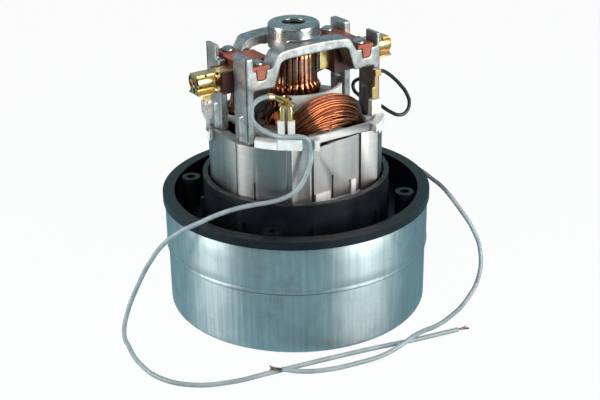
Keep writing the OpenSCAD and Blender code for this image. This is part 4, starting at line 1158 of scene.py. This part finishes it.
# Radius and height over the ear of a holder screw
SCREW = (
    (0.02, -8.0), (1.45, -8.0), (1.45, 0.02), (3.1, 0.02), (3.38, 0.25), (3.3, 0.75), (2.9, 1.35),
    (2.2, 1.85), (1.3, 2.15), (0.5, 2.25), (0.02, 2.26),
)
SCREWS_ALONG, SCREWS_ACROSS = 62.0, 28.6


class MOTORUNIT_OT_bracket(bpy.types.Operator):
    """Soften the cast end bracket and set its four screws"""

    bl_idname = "motor_unit.bracket"
    bl_label = "End bracket"

    def execute(self, context):
        cast = merged_copy("end_bracket", "cast_bracket")
        remesh = cast.modifiers.new("Skin", "REMESH")
        remesh.mode = "VOXEL"
        remesh.voxel_size = 0.42 * MM
        smooth = cast.modifiers.new("Soft edges", "SMOOTH")
        smooth.factor = 0.5
        smooth.iterations = 3
        mesh = plain_mesh(cast, "cast_bracket")
        cast.modifiers.clear()
        cast.data = mesh
        mesh.shade_smooth()
        dress(cast, "motor", "cast_aluminium", "end_bracket")

        shape = lathe([(r, EAR_TOP + z) for r, z in SCREW], 40)
        screws = through_tree("holder_screw_set", closed_mesh("screw", shape), "corners", "bright_steel", 40,
                              Length=SCREWS_ALONG * MM, Width=SCREWS_ACROSS * MM)
        dress(screws, "motor", "bright_steel", "brush_screws")
        return {"FINISHED"}


# Section of a brush tube across X, from the middle of its top round to the middle of its bottom
PLAIN_TUBE = (
    (0, 5.1), (2.0, 5.1), (3.7, 5.1), (4.2, 4.6), (4.2, 3.6), (4.2, 2.2), (4.2, 0.6), (4.2, -1.2),
    (4.2, -2.6), (4.2, -3.6), (4.2, -4.6), (3.8, -5.1), (0, -5.1),
)
FOLDED_TUBE = (
    (0, 5.1), (2.0, 5.1), (3.6, 5.1), (3.65, 4.7), (3.45, 4.4), (4.4, 3.8), (5.25, 2.2), (5.2, 0.2),
    (4.3, -1.8), (3.5, -2.8), (4.5, -4.1), (5.4, -5.1), (0, -5.1),
)
# How far the fold has come along X
TUBE_FOLD = (
    (13.4, 0), (30, 0), (48.2, 0), (48.6, 0.15), (49.1, 0.5), (49.6, 0.85), (50.2, 1),
    (TUBE_END - 0.4, 1), (TUBE_END, 0.98),
)
# Lowest and highest Y, lowest and highest Z and taper of the tabs over the open end
TUBE_TABS = ((-2.9, -0.7, -4.7, -1.8, 0.3), (0.7, 2.9, -4.7, -1.8, 0.3), (-3.0, 3.0, 3.0, 4.7, 0.0))


def tube_section(fold):
    """Closed outline of a brush tube as (y, z) points: plain at fold 0, folded at fold 1."""
    half = [Vector(p).lerp(Vector(f), fold) for p, f in zip(PLAIN_TUBE, FOLDED_TUBE)]
    fine = []
    for i in range(len(half) - 1):
        a, b, c, d = half[max(i - 1, 0)], half[i], half[i + 1], half[min(i + 2, len(half) - 1)]
        for k in range(3):
            fine.append(between(a, b, c, d, k / 3) if 3 < i < 9 else b.lerp(c, k / 3))
    fine.append(half[-1])
    return fine + [Vector((-p.x, p.y)) for p in reversed(fine[1:-1])]


def tube_ring(x, fold, inset):
    outline = tube_section(fold)
    ring = []
    for k, p in enumerate(outline):
        along = (outline[(k + 1) % len(outline)] - outline[k - 1]).normalized()
        ring.append(at(x, p.x + along.y * inset, BRUSH_Z + p.y - along.x * inset))
    return ring


def brush_tube(name):
    """A folded brass brush tube: top strip with its notches painted on as black shade by its finish, swaged
    mouth, tabs bent over its open end.
    """
    shape = bmesh.new()
    outer = [tube_ring(x, fold, 0) for x, fold in TUBE_FOLD]
    inner = [tube_ring(x, fold, 0.5) for x, fold in TUBE_FOLD]
    loft(shape, outer + inner[::-1], closed=True)
    near, far = TUBE_END - 0.6, TUBE_END - 0.05
    for y0, y1, z0, z1, taper in TUBE_TABS:
        rings = []
        for z, draw in ((BRUSH_Z + z0, 0.0), (BRUSH_Z + z1, taper)):
            corners = ((near, y0 + draw), (far, y0 + draw), (far, y1 - draw), (near, y1 - draw))
            rings.append([at(x, y, z) for x, y in corners])
        loft(shape, rings)
    return new_object(name, shape, 36)


# Height, half width and half thickness down a sleeve, from the tab to the jumper in it
SLEEVE = (
    (124.6, 3.0, 1.35), (124.2, 3.15, 1.5), (121.0, 3.1, 1.5), (118.4, 3.0, 1.5), (116.6, 2.3, 1.5),
    (115.2, 1.6, 1.4), (114.6, 1.5, 1.35),
)


def clear_sleeve(name):
    """A clear sleeve over a tube's tab, drawn down to the jumper in it."""
    rings = []
    for inset, rows in ((0.0, SLEEVE), (0.45, SLEEVE[::-1])):
        for z, a, b in rows:
            rings.append([at(53.6 + (a - inset) * spread(math.cos(turn)) * 0.98,
                             2.4 + (b - inset) * spread(math.sin(turn)) * 0.98, z) for turn in angles(24)])
    shape = bmesh.new()
    loft(shape, rings, closed=True)
    return new_object(name, shape, 50)


SPRING_TURNS, SPRING_R, SPRING_WIRE_R = 9, 2.7, 0.35
SPRING_STEPS = 16 * SPRING_TURNS


class MOTORUNIT_OT_brush_gear(bpy.types.Operator):
    """Make the holders, brass tubes, terminals and springs of the brushes"""

    bl_idname = "motor_unit.brush_gear"
    bl_label = "Brush gear"

    def execute(self, context):
        for side, sign in (("left", -1), ("right", 1)):
            rounded_piece(f"{side}_brush_holder", f"{side}_holder_moulding", 0.4, 2, "phenolic_red")
            rounded_piece(f"{side}_tube_terminal", f"{side}_tab", 0.2, 2, "brass")
            tube = brush_tube(f"{side}_folded_tube")
            sleeve = clear_sleeve(f"{side}_tab_sleeve")
            if sign < 0:
                turned_half(tube)
                turned_half(sleeve)
            dress(tube, "motor", "brass", f"{side}_brush_tube")
            dress(sleeve, "motor", "jumper_clear")

            low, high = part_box(f"{side}_brush_spring")
            near, far = (low.x, high.x) if sign > 0 else (high.x, low.x)
            near, far = near / MM + sign * SPRING_WIRE_R, far / MM - sign * SPRING_WIRE_R
            points = []
            for i in range(SPRING_STEPS + 1):
                t = i / SPRING_STEPS
                a = 2 * math.pi * SPRING_TURNS * t
                points.append(at(near + (far - near) * t, SPRING_R * math.cos(a),
                                 BRUSH_Z + SPRING_R * math.sin(a)))
            spring = wires(f"{side}_coiled_spring", [(points, 0.5)], SPRING_WIRE_R, 8, "spring_steel")
            coat(spring, "spring_steel")
            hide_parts(f"{side}_brush_spring")
            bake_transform(spring)
        return {"FINISHED"}


# Ends of the band and the neck round the lead, their inner and their outer radii
CRIMP_BANDS = (
    (((-34.9, -29.6, 129.9), (-32.2, -29.9, 129.45)), (1.15, 1.15), (1.72, 1.72)),
    (((-31.6, -29.95, 129.3), (-27.6, -31.7, 127.2)), (0.5, 0.5), (1.15, 1.95)),
)
CRIMP_FOOT, CRIMP_NECK = 116.4, 123.4
# Height, width and nearness to the middle along a prong
PRONG = (
    (CRIMP_FOOT, 0.8, 1.0), (CRIMP_FOOT + 0.5, 1.0, 1.0), (CRIMP_NECK - 0.6, 1.0, 1.0),
    (CRIMP_NECK + 0.4, 0.72, 0.86),
)
BARREL_STEPS = 24
# Place across the ring, half width and half height of the corners of the barrel's section
BARREL = ((-2.4, 2.9, 2.75), (2.3, 2.9, 2.75), (2.3, 1.5, 1.4), (-2.4, 1.5, 1.4))
PLATE = ((-4.0, 0.0), (4.0, 0.0), (4.0, 1.0), (2.4, 2.6), (-2.4, 2.6), (-4.0, 1.0))


def crimp(name):
    """A crimp terminal: two prongs, an open barrel on a plate, a band and a neck round the lead."""
    shape = bmesh.new()
    turn = Matrix.Rotation(math.radians(BLOCK_ANGLE), 4, "Z")
    for side in (-1, 1):
        rings = []
        for z, w, near in PRONG:
            middle = side * 1.9 * near
            rings.append([turn @ at(CRIMP_RING + 0.95 * math.cos(a), middle + 1.35 * math.sin(a) * w, z)
                          for a in angles(14)])
        loft(shape, rings)
    rings = []
    for i in range(BARREL_STEPS + 1):
        a = math.radians(-60 + 300 * i / BARREL_STEPS)
        rings.append([turn @ at(CRIMP_RING + x, wide * math.sin(a), CRIMP_NECK + 2.75 + tall * math.cos(a))
                      for x, wide, tall in BARREL])
    loft(shape, rings)
    loft(shape, [[turn @ at(CRIMP_RING + x, y, CRIMP_NECK + z) for y, z in PLATE] for x in (-2.5, -1.8)])
    for line, inner, outer in CRIMP_BANDS:
        first, last = (at(*p) for p in line)
        side, up = across((last - first).normalized())
        rings = []
        for point, r in ((first, outer[0]), (last, outer[1]), (last, inner[1]), (first, inner[0])):
            rings.append([point + (side * math.cos(a) + up * math.sin(a)) * r * MM for a in angles(20)])
        loft(shape, rings, closed=True)
    return new_object(name, shape, 36)


class MOTORUNIT_OT_terminals(bpy.types.Operator):
    """Fold the brass crimp terminals of the leads and jumpers"""

    bl_idname = "motor_unit.terminals"
    bl_label = "Terminals"

    def execute(self, context):
        dress(crimp("front_crimp"), "motor", "brass", "front_crimp_terminal")
        dress(turned_half(crimp("rear_crimp")), "motor", "brass", "rear_crimp_terminal")
        for node in ("jumper_terminal", "coil_terminal"):
            strip = rounded_piece(node, node + "_strip", 0.22, 2, "brass")
            strip.data.materials[0] = MATERIALS["brass_dull"]
        return {"FINISHED"}


# Parts kept as they are

KEPT = {
    "fan_aluminium": ("first_impeller", "second_impeller", "interstage_diffuser"),
    "steel": ("fan_spacers", "fan_washers", "fan_nut", "bearing_shields", "shaft", "bearing_spacer",
              "through_bolts"),
    "bright_steel": ("lower_outer_race", "lower_inner_race", "lower_bearing_balls",
                     "upper_outer_race", "upper_inner_race", "upper_bearing_balls"),
    "spring_steel": ("preload_washer",),
    "core_steel": ("armature_core",),
    "fibre": ("armature_end_discs",),
    "phenolic_dark": ("commutator_core",),
    "carbon": ("left_carbon_brush", "right_carbon_brush"),
}


class MOTORUNIT_OT_kept_parts(bpy.types.Operator):
    """Give the frame's own solids their finishes"""

    bl_idname = "motor_unit.kept_parts"
    bl_label = "Inner parts"

    def execute(self, context):
        for slot, nodes in KEPT.items():
            for node in nodes:
                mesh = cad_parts[node].data
                mesh.materials.clear()
                mesh.materials.append(MATERIALS[slot])
        return {"FINISHED"}


# Stage

VIEW_TURN = math.radians(-33)
EYE, AIM = (0, -593.5, 323.35), (2.044, 0, 54.83)
ROLL = -0.014
FLOOR_HALF, FLOOR_Z = 4, -0.0004
LAMP_WHITE = (1.0, 0.94, 0.89)

# Name, place, aim (millimetres, square to the camera), size in metres and share of the key light
LAMPS = (
    ("right_box", (410, -300, 222), (0, 0, 60), (0.34, 0.42), 1.50),
    ("left_box", (-435, -150, 222), (0, 0, 60), (0.22, 0.42), 0.98),
    ("front_box", (-150, -620, 560), (0, 0, 90), (0.6, 0.4), 0.42),
    ("top_box", (60, 320, 800), (0, 0, 90), (0.6, 0.5), 0.10),
)


def photo_to_frame(x, y, z):
    """Turns a point seen square to the camera into the frame, in metres."""
    return Matrix.Rotation(VIEW_TURN, 3, "Z") @ at(x, y, z)


def place_camera(focal):
    eye, aim = photo_to_frame(*EYE), photo_to_frame(*AIM)
    ahead = (aim - eye).normalized()
    right, up = across(ahead)
    level = math.cos(ROLL) * right + math.sin(ROLL) * up
    top = -math.sin(ROLL) * right + math.cos(ROLL) * up
    data = bpy.data.cameras.new("camera")
    data.lens = focal
    data.sensor_width = 36
    data.sensor_fit = "HORIZONTAL"
    data.clip_start, data.clip_end = 0.01, 20
    camera = add_object("camera", data)
    turn = Matrix((level, top, -ahead)).transposed().to_4x4()
    turn.translation = eye
    camera.matrix_world = turn
    bpy.context.scene.camera = camera


def area_light(name, spot, target, size, power):
    data = bpy.data.lights.new(name, "AREA")
    data.shape = "RECTANGLE"
    data.size, data.size_y = size
    data.energy = power
    data.color = LAMP_WHITE
    lamp = add_object(name, data)
    place, look = photo_to_frame(*spot), photo_to_frame(*target)
    turn = (look - place).to_track_quat("-Z", "Y").to_matrix().to_4x4()
    lamp.visible_camera = False
    lamp.matrix_world = Matrix.Translation(place) @ turn


def emptied(tree):
    """The graph of a tree without nodes."""
    tree.nodes.clear()
    return Graph(tree)


def lay_floor(colour):
    """A wide matte floor, which the camera sees almost white."""
    mesh = bpy.data.meshes.new("floor")
    corners = [(x * FLOOR_HALF, y * FLOOR_HALF, FLOOR_Z) for x, y in ((-1, -1), (1, -1), (1, 1), (-1, 1))]
    mesh.from_pydata(corners, [], [(0, 1, 2, 3)])
    floor = add_object("floor", mesh)
    paint = bpy.data.materials.new("floor_paint")
    paint.use_nodes = True
    graph = emptied(paint.node_tree)
    seen = graph.add("ShaderNodeLightPath", out="Is Camera Ray")
    matte = graph.add("ShaderNodeBsdfDiffuse", {"Color": colour})
    glow = graph.add("ShaderNodeEmission", {"Color": WHITE, "Strength": 1.0})
    mixed = graph.add("ShaderNodeMixShader", {0: seen * 0.96, 1: matte, 2: glow})
    graph.end("ShaderNodeOutputMaterial", mixed)
    mesh.materials.append(paint)


def light_world(world):
    """White where the camera looks, darker walls with a bright back in the reflections."""
    world.use_nodes = True
    graph = emptied(world.node_tree)
    camera_ray = graph.add("ShaderNodeLightPath", out="Is Camera Ray")
    glossy = graph.other(camera_ray, "Is Glossy Ray")
    through = graph.other(camera_ray, "Is Transmission Ray")
    x, y, _ = graph.axes(graph.add("ShaderNodeTexCoord", out="Generated"))
    back = y * math.cos(VIEW_TURN) - x * math.sin(VIEW_TURN)
    walls = graph.blend(graph.step(back, -0.75, 0.05), (0.045, 0.075, 0.088), (0.33, 0.53, 0.60))
    tone = graph.blend(glossy, (0.095, 0.12, 0.13), walls)
    tone = graph.blend(operate(graph.tree, "MAXIMUM", camera_ray, through), tone, WHITE)
    graph.end("ShaderNodeOutputWorld", graph.add("ShaderNodeBackground", {"Color": tone, "Strength": 1.0}))


class MOTORUNIT_OT_stage(bpy.types.Operator):
    """Set the camera, the pale floor and the soft lamps"""

    bl_idname = "motor_unit.stage"
    bl_label = "Stage"

    def execute(self, context):
        scene, stage = context.scene, settings().stage
        scene.view_settings.view_transform = "Standard"
        place_camera(stage.focal)
        lay_floor(stage.floor)
        scene.world = bpy.data.worlds.new("studio")
        light_world(scene.world)
        for name, spot, target, size, share in LAMPS:
            area_light(name, spot, target, size, stage.key * share)
        return {"FINISHED"}


class MOTORUNIT_PT_panel(bpy.types.Panel):
    """Lists the settings and the steps that build the unit"""

    bl_idname = "MOTORUNIT_PT_panel"
    bl_label = "Vacuum motor unit"
    bl_space_type = "VIEW_3D"
    bl_region_type = "UI"
    bl_category = "Motor unit"

    def draw(self, context):
        unit = context.scene.motor_unit
        for group in (unit.fan_case, unit.winding, unit.leads, unit.finish, unit.stage):
            box = self.layout.box()
            for name in group.bl_rna.properties.keys():
                if name not in ("rna_type", "name"):
                    box.prop(group, name)
        for step in STEPS:
            self.layout.operator(step.bl_idname)


GROUPS = (FanCaseSettings, WindingSettings, LeadSettings, FinishSettings, StageSettings, MotorUnitSettings)
STEPS = (
    MOTORUNIT_OT_stage, MOTORUNIT_OT_finishes, MOTORUNIT_OT_leads, MOTORUNIT_OT_jumpers,
    MOTORUNIT_OT_kept_parts, MOTORUNIT_OT_fan_case, MOTORUNIT_OT_housing, MOTORUNIT_OT_field_coils,
    MOTORUNIT_OT_stator, MOTORUNIT_OT_armature, MOTORUNIT_OT_commutator, MOTORUNIT_OT_bracket,
    MOTORUNIT_OT_brush_gear, MOTORUNIT_OT_terminals,
)


def register():
    for kind in (*GROUPS, *STEPS, MOTORUNIT_PT_panel):
        bpy.utils.register_class(kind)
    bpy.types.Scene.motor_unit = bpy.props.PointerProperty(type=MotorUnitSettings)


def unregister():
    del bpy.types.Scene.motor_unit
    for kind in reversed((*GROUPS, *STEPS, MOTORUNIT_PT_panel)):
        bpy.utils.unregister_class(kind)


def main():
    register()
    for step in STEPS:
        group, name = step.bl_idname.split(".")
        getattr(getattr(bpy.ops, group), name)()


if __name__ == "__main__":
    main()
